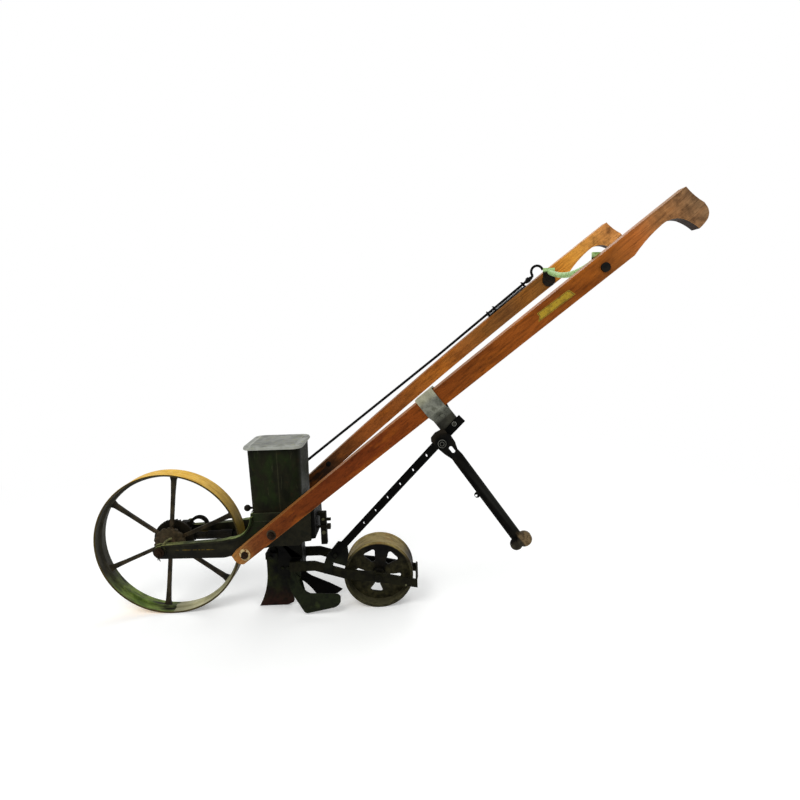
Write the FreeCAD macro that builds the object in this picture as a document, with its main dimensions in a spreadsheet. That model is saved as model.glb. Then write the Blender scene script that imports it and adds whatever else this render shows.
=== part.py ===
import FreeCAD, Part
import math
import os
import Sketcher

# Hand seeder: a one-row walking planter with an iron drive wheel in front, a seed
# hopper over a furrow opener, a press wheel behind and two bent wooden handles.
# +X runs rearward from the drive wheel to the grips, -Y is the operator's left and
# +Z is up.  Heights are measured from the ground.  Lengths along X are measured from
# the drive wheel's axle, and every piece is then moved by axle_x, so that the origin
# lies on the ground under the middle of the machine.

SIZES = [
    ("running_gap", 0.05, "radial clearance of a shaft in its bore"),
    ("seat_gap", 0.3, "clearance between pieces that lie against each other"),
    # drive wheel
    ("wheel_radius", 190.5, "drive wheel, outer radius: a 15 inch wheel"),
    ("rim_width", 52, "drive wheel, width of the flat rim"),
    ("rim_thickness", 5, "drive wheel, thickness of the rim"),
    ("rim_rib_height", 6, "rib cast round the inside of the rim"),
    ("rim_rib_width", 11, "width of that rib"),
    ("spoke_root", 9, "width of a spoke at the hub"),
    ("spoke_tip", 17, "width of a spoke at the rim"),
    ("spoke_thickness", 8, "thickness of a spoke along the axle"),
    ("spoke_count", 6, "number of spokes"),
    ("spoke_turn", 22.5, "angle of the first spoke above the +X direction"),
    ("hub_radius", 20, "barrel of the drive wheel's hub"),
    ("hub_length", 34, "length of that barrel"),
    ("ratchet_radius", 41, "notched disc on the near side of the hub"),
    ("ratchet_thickness", 8, "thickness of the notched disc"),
    ("ratchet_notch", 5, "radius of a notch"),
    ("ratchet_count", 14, "number of notches"),
    ("axle_radius", 10, "drive wheel axle"),
    # bevel drive
    ("shaft_y", 39, "distance of the drive shaft to the right of the middle plane"),
    ("gear_outer", 52, "outer radius of the bevel gear"),
    ("gear_inner", 40, "inner radius of its teeth"),
    ("gear_teeth", 36, "teeth of the bevel gear"),
    ("pinion_teeth", 8, "teeth of the pinion"),
    ("tooth_height", 4.4, "height of a tooth at the middle of its face"),
    ("tooth_clearance", 0.8, "space between a tooth's tip and the root opposite"),
    ("tooth_backlash", 0.7, "play between the flanks of meshing teeth"),
    ("shaft_radius", 6, "drive shaft"),
    ("collar_radius", 9, "shift collar on the drive shaft"),
    ("collar_start", 56, "front end of the shift collar"),
    ("collar_end", 81, "rear end of the shift collar"),
    ("sleeve_radius", 11, "front half of the clutch sleeve"),
    ("sleeve_end", 120, "rear end of the front half"),
    ("clutch_radius", 13, "rear half of the clutch sleeve"),
    ("clutch_end", 153, "rear end of the clutch sleeve"),
    # side castings and seed base
    ("arm_inner", 58, "distance from the middle plane to a side casting's web"),
    ("arm_web", 8, "thickness of that web"),
    ("arm_nose", 20, "radius of the rounded front end round the axle"),
    ("arm_flange", 9, "how far the top flange stands out"),
    ("flange_depth", 6, "depth of the top flange"),
    ("arm_mid_x", 160, "where the arms start to rise toward the hopper"),
    ("arm_rise", 27.5, "height of the arm's top there, over the axle"),
    ("arm_drop", 22.5, "depth of the arm's underside there, below the axle"),
    ("arm_mid_top", "=wheel_radius + arm_rise", "the same from the ground"),
    ("arm_mid_bottom", "=wheel_radius - arm_drop", "the same from the ground"),
    ("deck_front", 234, "front of the deck that carries the hopper"),
    ("deck_rear", 386, "rear of that deck"),
    ("deck_rise", 92.5, "height of the deck's top over the axle"),
    ("deck_foot", 3.5, "height of the deck's underside over the axle"),
    ("deck_top", "=wheel_radius + deck_rise", "height of the deck's top"),
    ("deck_bottom", "=wheel_radius + deck_foot", "height of the deck's underside"),
    ("deck_sweep", 54, "radius of the sweep from arm to deck"),
    ("deck_step", 7, "upright edge above that sweep"),
    ("deck_tail", 34, "length of the raised rear end of the casting's underside"),
    ("tail_rise", 117.5, "height of the ear behind the hopper, over the axle"),
    ("tail_height", "=wheel_radius + tail_rise", "the same from the ground"),
    ("yoke_rise", 27.5, "height of the shift hook's bracket over the axle"),
    ("yoke_hook", 54.5, "height of the shift hook over the axle"),
    ("yoke_bar", 9, "thickness of the shift hook"),
    # hopper
    ("hopper_length", 133, "hopper, outside length at the top"),
    ("hopper_width", 132, "hopper, outside width at the top"),
    ("hopper_taper", 3, "how much each side draws in toward the bottom"),
    ("hopper_x", 301, "middle of the hopper"),
    ("hopper_rise", 261.5, "height of the hopper's mouth over the axle"),
    ("hopper_top", "=wheel_radius + hopper_rise", "the same from the ground"),
    ("hopper_wall", 3, "thickness of the hopper's wall"),
    ("hopper_corner", 16, "radius of its upright corners"),
    ("outlet_radius", 14, "seed passage from the hopper's floor through base and boot"),
    ("outlet_x", 330, "middle of that passage"),
    ("lid_overhang", 8, "how far the lid's turned edge stands past the hopper"),
    ("lid_slip", 1.5, "how far the lid sits toward the front"),
    ("lid_sheet", 1.6, "thickness of the tin lid"),
    ("lid_skirt", 4.2, "depth of the lid's turned edge"),
    ("lid_roll", 1.6, "radius of that edge"),
    ("lid_panel", 2.5, "height of the raised panel"),
    ("lid_margin", 17, "flat border round the raised panel"),
    ("hinge_radius", 2.5, "pin of the lid's hinge"),
    ("hinge_length", 70, "length of that pin"),
    ("hinge_ear", 8, "width of one ear of the hinge"),
    ("hinge_reach", 6.4, "distance of the pin outside the lid's edge"),
    ("thumb_rise", 10, "height of the thumb screw over the deck"),
    ("thumb_knob", 8.5, "radius of the thumb screw's knob"),
    # boot, opener and covering blades
    ("boot_front", 287, "front of the boot"),
    ("boot_rear", 350, "rear of the boot"),
    ("boot_half", 22, "half width of the boot"),
    ("boot_bottom", 92, "height of the boot's lower end"),
    ("opener_thickness", 12, "thickness of the furrow opener"),
    ("shank_front", 250, "front of the opener's shank"),
    ("shank_top", 138, "top of that shank"),
    ("opener_toe", 224, "front point of the opener"),
    ("opener_curve", 196, "radius of its hollow front edge"),
    ("opener_heel", 316, "rear end of the opener"),
    ("heel_step", 16, "length over which the heel rises"),
    ("heel_rise", 7, "height of the heel's corner"),
    ("ground_gap", 1.5, "height of the opener's edge over the ground"),
    ("blade_front", 317, "where a covering blade leaves the boot"),
    ("blade_width", 27, "width of a blade's stem"),
    ("blade_knee", 90, "height at which the blades bend out from their stems"),
    ("blade_thickness", 4, "thickness of a covering blade"),
    ("blade_flare", 6, "angle at which a blade spreads rearward"),
    ("left_tilt", 20, "angle at which the left blade stands out below its bend"),
    ("left_reach", 136, "length of the left blade behind its stem's front"),
    ("left_heel", 50, "where the left blade is deepest"),
    ("left_depth", 91, "how far the left blade hangs below the bend"),
    ("left_tail_depth", 62, "the same at its tail"),
    ("left_tail_width", 21, "width of that tail"),
    ("left_throat", 55, "where its upper edge levels out"),
    ("right_tilt", 6, "angle at which the right blade stands out below its bend"),
    ("right_reach", 127, "length of the right blade behind its stem's front"),
    ("right_heel", 52, "where the right blade's edge reaches its depth"),
    ("right_depth", 87.5, "how far the right blade hangs below the bend"),
    ("right_tail_depth", 76, "the same at its pointed tail"),
    # press wheel and its fork
    ("press_x", 549.8, "press wheel axle"),
    ("press_radius", 91.3, "press wheel, outer radius"),
    ("press_width", 69, "press wheel, width"),
    ("press_rim", 5, "thickness of its rim"),
    ("press_hollow", 3, "how far the tread is hollowed"),
    ("press_disc", 6, "thickness of the wheel's disc"),
    ("press_dish", 10, "how far the disc is dished toward the left"),
    ("press_hole_circle", 45, "radius on which the disc's windows lie"),
    ("window_height", 29, "radial height of a window"),
    ("window_inner", 14, "width of a window near the hub"),
    ("window_outer", 32, "width of a window near the rim"),
    ("window_corner", 6, "radius of a window's corners"),
    ("press_hub", 17, "radius of the press wheel's hub"),
    ("press_axle_radius", 8, "press wheel axle"),
    ("press_windows", 5, "number of windows in the disc"),
    ("fork_inner", 43, "distance from the middle plane to a fork bar"),
    ("fork_thickness", 7, "thickness of a fork bar"),
    ("fork_depth", 26, "depth of a fork bar"),
    ("fork_root_z", 129, "height of the fork bars at the boot"),
    ("fork_bend_x", 463, "where the fork bars level out"),
    ("fork_bend_z", 104, "height of the bars at that bend"),
    ("fork_tail_x", 652, "rear end of the fork bars"),
    ("fork_tail_z", 70, "height of their rear end"),
    ("scraper_gap", 6, "space between scraper and press wheel"),
    ("scraper_sheet", 4, "thickness of the scraper"),
    ("scraper_height", 20, "height of the scraper"),
    # handles
    ("bolt_x", 231, "lower handle bolt"),
    ("bolt_rise", 7.5, "height of the lower handle bolt over the axle"),
    ("bolt_z", "=wheel_radius + bolt_rise", "the same from the ground"),
    ("bolt_pitch", 94, "distance from the lower to the upper handle bolt"),
    ("handle_rise", 38.1, "slope of the handles in side view, degrees"),
    ("handle_tail", 35, "wood below the lower bolt"),
    ("handle_length", 1291, "from the lower bolt to the end of the grip"),
    ("handle_thickness", 33, "thickness of the handles"),
    ("handle_half_foot", 17, "half the handle's depth at its lower end"),
    ("foot_round", 24, "radius of the rounded lower end"),
    ("handle_top_end", 28, "height of the upper edge at the grip, over the bolt line"),
    ("handle_top_bow", 10, "bow of the upper edge"),
    ("handle_under_bow", 7, "bow of the lower edge"),
    ("grip_length", 168, "length of the shaped grip"),
    ("grip_shoulder", 14.5, "depth of the handle where the grip begins, below the bolt line"),
    ("grip_neck", 1, "the same at the grip's narrowest place"),
    ("grip_neck_back", 86, "distance of that place from the grip's end"),
    ("grip_throat_back", 44, "where the neck turns down, from the end"),
    ("grip_throat", 22, "depth of the underside there"),
    ("grip_tip_back", 29, "distance of the grip's tip from the end"),
    ("grip_tip", 58, "depth of the grip's tip below the bolt line"),
    ("grip_nose", 10, "how far the rounded nose stands past the end"),
    ("spread_start", 92, "distance of the handles from the middle plane at their foot"),
    ("spread_end", 234, "the same at the grips"),
    ("spread_bow", 53, "outward bow of the handles in plan"),
    ("lug_radius", 13, "lugs that carry the handles"),
    ("handle_bolt", 5, "radius of the handles' bolts"),
    ("handle_hole", 5.2, "radius of the holes for them"),
    ("brace_back", 235, "distance of the spreader's bolts from the grip's end"),
    ("brace_rise", 7.4, "height of those bolts over the bolt line"),
    ("brace_x", "=bolt_x + (handle_length - brace_back) * cos(handle_rise)",
     "spreader between the handles"),
    ("brace_z", "=bolt_z + (brace_x - bolt_x) * tan(handle_rise) + brace_rise",
     "height of the spreader's bolts"),
    ("brace_radius", 7.5, "radius of the spreader"),
    ("brace_lift", 24, "height of the spreader's ends over its bolts"),
    ("brace_sag", 22, "how far the spreader dips in the middle"),
    ("brace_pad", 19, "radius of the pads at the spreader's ends"),
    ("brace_cheek", 17, "half width of the plates that rise from the pads"),
    ("brace_pad_thickness", 6, "thickness of pads and plates"),
    # perforated brace, strap and leg
    ("bar_x", 452, "lower end of the perforated bar"),
    ("bar_z", 172, "height of that end"),
    ("bar_top_x", 720, "where the bar's bent head starts"),
    ("bar_drop", 84.4, "depth of that place below the bolt line"),
    ("bar_top_z", "=bolt_z + (bar_top_x - bolt_x) * tan(handle_rise) - bar_drop",
     "height of that place"),
    ("bar_width", 24, "width of the bar"),
    ("bar_thickness", 6, "thickness of the bar"),
    ("bar_hole", 3.6, "radius of the bar's holes"),
    ("bar_first_hole", 125, "distance from the lower end to the first hole"),
    ("bar_pitch", 53.2, "spacing of the holes"),
    ("bar_holes", 6, "number of holes"),
    ("bracket_sheet", 5, "thickness of the bracket under the bar"),
    ("bar_foot_length", 22, "length of the bar's bent foot"),
    ("bar_head_length", 64, "length of the bar's bent head"),
    ("strap_sheet", 3, "thickness of the strap round the left handle"),
    ("strap_width", 46, "width of the strap along the handle"),
    ("strap_top", 35.6, "height of the strap's top over the bolt line"),
    ("strap_low", 10, "where its legs start to draw together, below that line"),
    ("strap_reach", 62, "lower end of its legs, below that line"),
    ("strap_x", 703, "middle of the strap along X"),
    ("leg_plane", 19, "distance from the bar's middle to the leg"),
    ("leg_boss", 12, "radius of the boss that carries the leg"),
    ("leg_length", 286, "from the leg's pivot to its foot"),
    ("leg_hang", 53.5, "angle of the hanging leg below the level"),
    ("leg_width", 25, "width of the leg"),
    ("leg_web", 4, "web of the leg's channel"),
    ("leg_flange", 11, "depth of the leg's flanges"),
    ("leg_offset", 8, "how far the channel's top end lies behind the pivot"),
    ("leg_start", 47, "distance from the pivot to the channel"),
    ("leg_head", 26, "width of the leg's head behind the pivot"),
    ("leg_chin", 15, "width of the head in front of the pivot"),
    ("leg_slot", 4, "half width of the slot in the head"),
    ("leg_slot_start", 19, "where that slot begins, from the pivot"),
    ("leg_slot_end", 31, "where it ends"),
    ("leg_eye", 141, "distance from the pivot to the small eye on the leg"),
    ("leg_eye_radius", 6.5, "radius of that eye"),
    ("leg_eye_hole", 2.8, "hole in that eye"),
    ("leg_pin", 5, "pivot pin of the leg"),
    ("leg_cap", 11, "radius of the domed washer over the pivot"),
    ("foot_large", 17, "radius of the foot's rear lobe"),
    ("foot_small", 14, "radius of its front lobe"),
    ("foot_spread", 21, "distance between the lobes"),
    # clutch rod
    ("rod_radius", 3.7, "clutch rod"),
    ("rod_foot_x", 262, "lower end of the clutch rod"),
    ("rod_foot_y", 114, "its distance to the right"),
    ("rod_foot_rise", 111.5, "its height over the axle"),
    ("rod_foot_z", "=wheel_radius + rod_foot_rise", "its height"),
    ("rod_lean", 35.6, "slope of the rod, degrees"),
    ("rod_splay", 12.5, "angle of the rod in plan"),
    ("rod_length", 600, "length of the rod below its bend"),
    ("rod_tail", 355, "length of the rod above its bend, parallel to the handle"),
    ("rod_tail_splay", 2.3, "its angle in plan"),
    ("lever_y", 78, "distance of the clutch lever to the right"),
    ("guide_start", 148.7, "distance of the rod's guide plate behind its bend"),
    ("guide_x", "=rod_foot_x + rod_length * cos(rod_lean) * cos(rod_splay) + guide_start",
     "lower end of the rod's guide plate"),
    ("guide_length", 132, "length of that plate"),
    ("guide_width", 24, "width of that plate"),
    ("guide_sheet", 3, "thickness of that plate"),
    ("guide_lift", 6.2, "height of the plate over the end of the handle's upper edge"),
    ("hook_radius", 17, "radius of the finger hook"),
    # seed gate
    ("gate_x", 407, "seed gate bar"),
    ("gate_rise", 68.5, "height of its upper end over the axle"),
    ("gate_drop", 20.5, "depth of its lower end below the axle"),
    ("gate_top", "=wheel_radius + gate_rise", "height of its upper end"),
    ("gate_bottom", "=wheel_radius - gate_drop", "height of its lower end"),
    ("gate_width", 15, "width of the gate bar"),
    ("gate_thickness", 16, "thickness of the gate bar"),
    ("gate_lug", 12, "length of the lug behind the gate bar"),
    ("screw_radius", 3.5, "adjusting screw of the gate"),
    ("screw_rise", 31.5, "height of that screw over the axle"),
    ("screw_z", "=wheel_radius + screw_rise", "height of that screw"),
]

os.makedirs("parts", exist_ok=True)
doc = FreeCAD.newDocument("hand_seeder")
sheet = doc.addObject("Spreadsheet::Sheet", "sizes")
for row, (alias, value, meaning) in enumerate(SIZES, 1):
    sheet.set(f"A{row}", meaning)
    sheet.set(f"B{row}", str(value))
    sheet.setAlias(f"B{row}", alias)
AXLE_CELL = f"B{len(SIZES) + 1}"
sheet.set(AXLE_CELL, "0")
sheet.setAlias(AXLE_CELL, "axle_x")
doc.recompute()

PIECES = []


def number(expression):
    """Value of an expression in the sheet's aliases."""
    found = sheet.evalExpression(full(expression))
    return float(getattr(found, "Value", found))


def full(expression):
    """The expression with each alias written as a cell of the sheet."""
    text = str(expression)
    out = ""
    word = ""
    for letter in text + " ":
        if letter.isalnum() or letter == "_":
            word += letter
            continue
        out += "sizes." + word if word in ALIASES else word
        out += letter
        word = ""
    return out.strip()


ALIASES = {alias for alias, value, meaning in SIZES} | {"axle_x"}


def keep(obj, label):
    """Name a finished sub-part, which is exported under that name."""
    obj.Label = label
    PIECES.append(obj)
    return obj


def seat(obj, x="0", y="0", z="0", turn=None, about=(0, 0, 1)):
    """Place a piece: x from the drive axle, y and z from the origin."""
    if turn is not None:
        obj.Placement.Rotation = FreeCAD.Rotation(FreeCAD.Vector(*about), 30)
        obj.setExpression("Placement.Rotation.Angle", full(turn))
    obj.setExpression("Placement.Base.x", full(f"axle_x + ({x})"))
    obj.setExpression("Placement.Base.y", full(y))
    obj.setExpression("Placement.Base.z", full(z))
    return obj


def body(name):
    made = doc.addObject("PartDesign::Body", name)
    made.Label = name
    return made


def sketch(owner, plane, name, offset=None):
    """Empty sketch on one of the body's own planes: XY, XZ or YZ."""
    drawn = owner.newObject("Sketcher::SketchObject", name)
    base = [f for f in owner.Origin.OriginFeatures if f.Role == plane + "_Plane"][0]
    drawn.AttachmentSupport = [(base, "")]
    drawn.MapMode = "FlatFace"
    if offset is not None:
        drawn.setExpression("AttachmentOffset.Base.z", full(offset))
    return drawn


def fix(drawn, kind, *where):
    """One dimension of a sketch, tied to the sheet; the last item is its size."""
    expression = where[-1]
    made = drawn.addConstraint(Sketcher.Constraint(kind, *where[:-1], number(expression)))
    drawn.setExpression(f"Constraints[{made}]", full(expression))


def circle(drawn, radius, x="0", y="0"):
    """Full circle about (x, y)."""
    spot = FreeCAD.Vector(number(x), number(y), 0)
    made = drawn.addGeometry(Part.Circle(spot, FreeCAD.Vector(0, 0, 1), number(radius)), False)
    fix(drawn, "Radius", made, radius)
    fix(drawn, "DistanceX", -1, 1, made, 3, x)
    fix(drawn, "DistanceY", -1, 1, made, 3, y)
    return drawn


def outline(drawn, corners, closed=True):
    """Chain of sides through corners (x, y) or (x, y, radius).

    A radius turns the side that leaves the corner into an arc: positive bulges to
    the right of the way travelled, negative to the left.
    """
    spots = [FreeCAD.Vector(number(c[0]), number(c[1]), 0) for c in corners]
    total = len(corners) if closed else len(corners) - 1
    ends = []
    for index in range(total):
        start = spots[index]
        stop = spots[(index + 1) % len(spots)]
        if len(corners[index]) == 2:
            made = drawn.addGeometry(Part.LineSegment(start, stop), False)
            ends.append((made, 1, 2))
            continue
        radius = number(corners[index][2])
        chord = stop - start
        rise = abs(radius) - math.sqrt(max(radius * radius - chord.Length ** 2 / 4, 0))
        side = FreeCAD.Vector(chord.y, -chord.x, 0).normalize()
        middle = (start + stop) / 2 + side * math.copysign(rise, radius)
        made = drawn.addGeometry(Part.Arc(start, middle, stop), False)
        ends.append((made, 1, 2) if radius > 0 else (made, 2, 1))
        fix(drawn, "Radius", made, f"abs({corners[index][2]})")
    for index, (made, first, last) in enumerate(ends):
        fix(drawn, "DistanceX", -1, 1, made, first, corners[index][0])
        fix(drawn, "DistanceY", -1, 1, made, first, corners[index][1])
        if index + 1 < total or closed:
            after = ends[(index + 1) % total]
            joint = Sketcher.Constraint("Coincident", made, last, after[0], after[1])
            drawn.addConstraint(joint)
        else:
            fix(drawn, "DistanceX", -1, 1, made, last, corners[index + 1][0])
            fix(drawn, "DistanceY", -1, 1, made, last, corners[index + 1][1])
    return drawn


def box_outline(drawn, x_low, x_high, y_low, y_high):
    corners = [(x_low, y_low), (x_high, y_low), (x_high, y_high), (x_low, y_high)]
    return outline(drawn, corners)


def pad(drawn, length, both=False, reverse=False, cut=False):
    """Extrude a sketch in its body; both makes it lie evenly about the sketch."""
    owner = drawn.getParentGeoFeatureGroup()
    kind = "PartDesign::Pocket" if cut else "PartDesign::Pad"
    made = owner.newObject(kind, drawn.Name + ("_cut" if cut else "_pad"))
    made.Profile = drawn
    made.setExpression("Length", full(length))
    made.SideType = "Symmetric" if both else "One side"
    made.Reversed = reverse
    return made


def turned(drawn, cut=False):
    """Revolve a sketch about its own vertical axis."""
    owner = drawn.getParentGeoFeatureGroup()
    kind = "PartDesign::Groove" if cut else "PartDesign::Revolution"
    made = owner.newObject(kind, drawn.Name + "_turned")
    made.Profile = drawn
    made.ReferenceAxis = (drawn, ["V_Axis"])
    made.Angle = 360
    return made


def round_pattern(feature, drawn, count, axis="N_Axis"):
    """Repeat a feature round an axis of its sketch."""
    owner = drawn.getParentGeoFeatureGroup()
    made = owner.newObject("PartDesign::PolarPattern", feature.Name + "_round")
    made.Originals = [feature]
    made.Axis = (drawn, [axis])
    made.Angle = 360
    made.setExpression("Occurrences", full(count))
    owner.Tip = made
    return made


def cylinder(name, radius, length, x, y, z, along="Y"):
    """Round bar that starts at (x, y, z) and runs along +X, +Y or +Z."""
    made = doc.addObject("Part::Cylinder", name)
    made.setExpression("Radius", full(radius))
    made.setExpression("Height", full(length))
    turns = {"X": ("90", (0, 1, 0)), "Y": ("-90", (1, 0, 0)), "Z": (None, None)}
    turn, about = turns[along]
    return seat(made, x, y, z, turn, about or (0, 0, 1))


def block(name, x, y, z, length, width, height):
    """Box with its lowest corner at (x, y, z)."""
    made = doc.addObject("Part::Box", name)
    made.setExpression("Length", full(length))
    made.setExpression("Width", full(width))
    made.setExpression("Height", full(height))
    return seat(made, x, y, z)


def fused(name, *shapes):
    made = doc.addObject("Part::MultiFuse", name)
    made.Shapes = list(shapes)
    made.Refine = True
    return made


def less(name, base, tool):
    made = doc.addObject("Part::Cut", name)
    made.Base = base
    made.Tool = tool
    return made


def mirrored(source, label):
    """The right-hand twin of a left-hand piece."""
    made = doc.addObject("Part::Mirroring", label)
    made.Source = source
    made.Normal = (0, 1, 0)
    return keep(made, label)


# ---------------------------------------------------------------- drive wheel

def drive_wheel():
    """Cast wheel: flat rim with an inner rib, tapered spokes, hub and ratchet disc."""
    wheel = body("drive_wheel")
    inner = "wheel_radius - rim_thickness"
    half = "rim_width / 2"
    rib = "rim_rib_width / 2"
    rim = sketch(wheel, "XY", "rim_section")
    outline(rim, [
        (inner, f"-({half})"), ("wheel_radius", f"-({half})"),
        ("wheel_radius", half), (inner, half),
        (inner, rib), (f"{inner} - rim_rib_height", rib),
        (f"{inner} - rim_rib_height", f"-({rib})"), (inner, f"-({rib})")])
    turned(rim)
    hub = sketch(wheel, "XY", "hub_section")
    bore = "axle_radius + running_gap"
    end = "hub_length / 2"
    disc = "-spoke_thickness / 2"
    outline(hub, [
        (bore, f"-({end})"), ("hub_radius", f"-({end})"),
        ("hub_radius", f"{disc} - ratchet_thickness"),
        ("ratchet_radius", f"{disc} - ratchet_thickness"),
        ("ratchet_radius", disc), ("hub_radius", disc),
        ("hub_radius", end), (bore, end)])
    turned(hub)
    spoke = sketch(wheel, "XZ", "spoke_outline")
    root = "hub_radius - 3"
    tip = "wheel_radius - rim_thickness - rim_rib_height + 1"
    outline(spoke, [
        (root, "-spoke_root / 2"), (f"{tip} - 3 * spoke_tip", "-spoke_root / 2 - 0.6"),
        (f"{tip} - 0.7 * spoke_tip", "-spoke_tip / 2 + 1.8"),
        (tip, "-spoke_tip / 2 - 2"), (tip, "spoke_tip / 2 + 2"),
        (f"{tip} - 0.7 * spoke_tip", "spoke_tip / 2 - 1.8"),
        (f"{tip} - 3 * spoke_tip", "spoke_root / 2 + 0.6"), (root, "spoke_root / 2")])
    arm = pad(spoke, "spoke_thickness", both=True)
    round_pattern(arm, spoke, "spoke_count")
    notch = sketch(wheel, "XZ", "ratchet_notch")
    circle(notch, "ratchet_notch", "ratchet_radius + 2")
    scallop = pad(notch, "ratchet_thickness * 2 + spoke_thickness", cut=True)
    scallop.Reversed = True
    scallop.setExpression("Length", full("ratchet_thickness + spoke_thickness / 2"))
    round_pattern(scallop, notch, "ratchet_count")
    seat(wheel, "0", "0", "wheel_radius", "-spoke_turn", (0, 1, 0))
    return keep(wheel, "drive_wheel")


# The bevel gear and its pinion share one apex, where the two shafts' lines cross.
# A tooth is drawn at the outer end of its face and scaled toward that apex.

MID_FACE = "(gear_outer + gear_inner) / 2"
PINION_PITCH = f"({MID_FACE}) * pinion_teeth / gear_teeth"


def drive_gear():
    """Bevel gear bolted to the right end of the hub, teeth toward the shaft."""
    gear = body("drive_gear")
    back = "hub_length / 2"
    tip = f"({PINION_PITCH} - tooth_height / 2 + tooth_clearance / 2)"
    root = f"({PINION_PITCH} + tooth_height / 2 + tooth_clearance)"
    blank = sketch(gear, "XY", "gear_section")
    outline(blank, [
        ("axle_radius + running_gap", back), ("gear_outer", back),
        ("gear_outer", f"shaft_y - {root} * gear_outer / ({MID_FACE})"),
        ("gear_inner", f"shaft_y - {root} * gear_inner / ({MID_FACE})"),
        ("gear_inner - 6", f"shaft_y - {root} * gear_inner / ({MID_FACE})"),
        ("gear_inner - 10", f"{back} + 4"), ("hub_radius", f"{back} + 4"),
        ("hub_radius - 2", f"{back} + 9"), ("axle_radius + running_gap", f"{back} + 9")])
    turned(blank)
    pitch_arc = f"2 * 3.14159 * ({MID_FACE}) / gear_teeth"
    wide = f"(({pitch_arc}) / 2 - tooth_backlash / 2 + 0.9) / 2"
    narrow = f"(({pitch_arc}) / 2 - tooth_backlash / 2 - 1.3) / 2"
    sections = []
    for name, place in (("tooth_outer", "gear_outer"), ("tooth_inner", "gear_inner")):
        scale = f"({place}) / ({MID_FACE})"
        section = sketch(gear, "YZ", name, place)
        foot = f"shaft_y - ({root} + 0.5) * {scale}"
        top = f"shaft_y - {tip} * {scale}"
        outline(section, [
            (foot, f"-({wide}) * {scale}"), (top, f"-({narrow}) * {scale}"),
            (top, f"({narrow}) * {scale}"), (foot, f"({wide}) * {scale}")])
        sections.append(section)
    tooth = gear.newObject("PartDesign::AdditiveLoft", "gear_tooth")
    tooth.Profile = sections[0]
    tooth.Sections = [sections[1]]
    tooth.Ruled = True
    round_pattern(tooth, blank, "gear_teeth", "V_Axis")
    seat(gear, "0", "0", "wheel_radius")
    return keep(gear, "drive_gear")


def drive_pinion():
    """Small bevel pinion on the front end of the drive shaft."""
    pinion = body("drive_pinion")
    root = f"({PINION_PITCH} - tooth_height / 2 - tooth_clearance / 2)"
    tip = f"({PINION_PITCH} + tooth_height / 2)"
    outer = f"gear_outer / ({MID_FACE})"
    inner = f"gear_inner / ({MID_FACE})"
    blank = sketch(pinion, "XY", "pinion_section")
    bore = "shaft_radius + running_gap"
    outline(blank, [
        ("gear_inner", bore), ("gear_outer", bore),
        ("gear_outer", f"{root} * {outer}"), ("gear_inner", f"{root} * {inner}")])
    cone = pinion.newObject("PartDesign::Revolution", "pinion_cone")
    cone.Profile = blank
    cone.ReferenceAxis = (blank, ["H_Axis"])
    cone.Angle = 360
    pitch_arc = f"2 * 3.14159 * ({MID_FACE}) / gear_teeth"
    wide = f"(({pitch_arc}) / 2 - tooth_backlash / 2 + 0.4) / 2"
    narrow = f"(({pitch_arc}) / 2 - tooth_backlash / 2 - 1.7) / 2"
    sections = []
    for name, place in (("leaf_outer", "gear_outer"), ("leaf_inner", "gear_inner")):
        scale = f"({place}) / ({MID_FACE})"
        section = sketch(pinion, "YZ", name, place)
        foot = f"({root} - 0.6) * {scale}"
        top = f"{tip} * {scale}"
        outline(section, [
            (foot, f"-({wide}) * {scale}"), (top, f"-({narrow}) * {scale}"),
            (top, f"({narrow}) * {scale}"), (foot, f"({wide}) * {scale}")])
        sections.append(section)
    leaf = pinion.newObject("PartDesign::AdditiveLoft", "pinion_leaf")
    leaf.Profile = sections[0]
    leaf.Sections = [sections[1]]
    leaf.Ruled = True
    round_pattern(leaf, blank, "pinion_teeth", "H_Axis")
    seat(pinion, "0", "shaft_y", "wheel_radius", "180 / pinion_teeth", (1, 0, 0))
    return keep(pinion, "drive_pinion")


def drive_shaft():
    """Shaft from the pinion to the seed base, with shift collar and clutch sleeve."""
    shaft = body("drive_shaft")
    line = sketch(shaft, "XY", "shaft_section")
    groove = "shaft_radius + 1"
    outline(line, [
        ("gear_inner - 6", "0"), ("deck_front + 30", "0"), ("deck_front + 30", "shaft_radius"),
        ("clutch_end", "shaft_radius"), ("clutch_end", "clutch_radius"),
        ("sleeve_end", "clutch_radius"), ("sleeve_end", "sleeve_radius"),
        ("collar_end + 3", "sleeve_radius"), ("collar_end + 3", groove),
        ("collar_end", groove), ("collar_end", "collar_radius"),
        ("collar_start", "collar_radius"), ("collar_start", "shaft_radius"),
        ("gear_inner - 6", "shaft_radius")])
    bar = shaft.newObject("PartDesign::Revolution", "shaft_turned")
    bar.Profile = line
    bar.ReferenceAxis = (line, ["H_Axis"])
    bar.Angle = 360
    seat(shaft, "0", "shaft_y", "wheel_radius")
    return keep(shaft, "drive_shaft")


def front_axle():
    """Fixed axle through both side castings, with a collar on each side of the hub."""
    axle = body("front_axle")
    line = sketch(axle, "XY", "axle_section")
    end = "arm_inner + arm_web + 8"
    web = "arm_inner"
    outline(line, [
        ("0", f"-({end})"), ("axle_radius", f"-({end})"), ("axle_radius", f"-({web})"),
        ("axle_radius + 6", f"-({web})"), ("axle_radius + 6", f"-({web} - 10)"),
        ("axle_radius", f"-({web} - 10)"), ("axle_radius", end), ("0", end)])
    turned(line)
    seat(axle, "0", "0", "wheel_radius")
    return keep(axle, "front_axle")


# ------------------------------------------------- side castings and seed base

SWEEP_X = "(deck_front - deck_sweep)"
SWEEP_Z = "(deck_top - deck_step - deck_sweep)"


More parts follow.
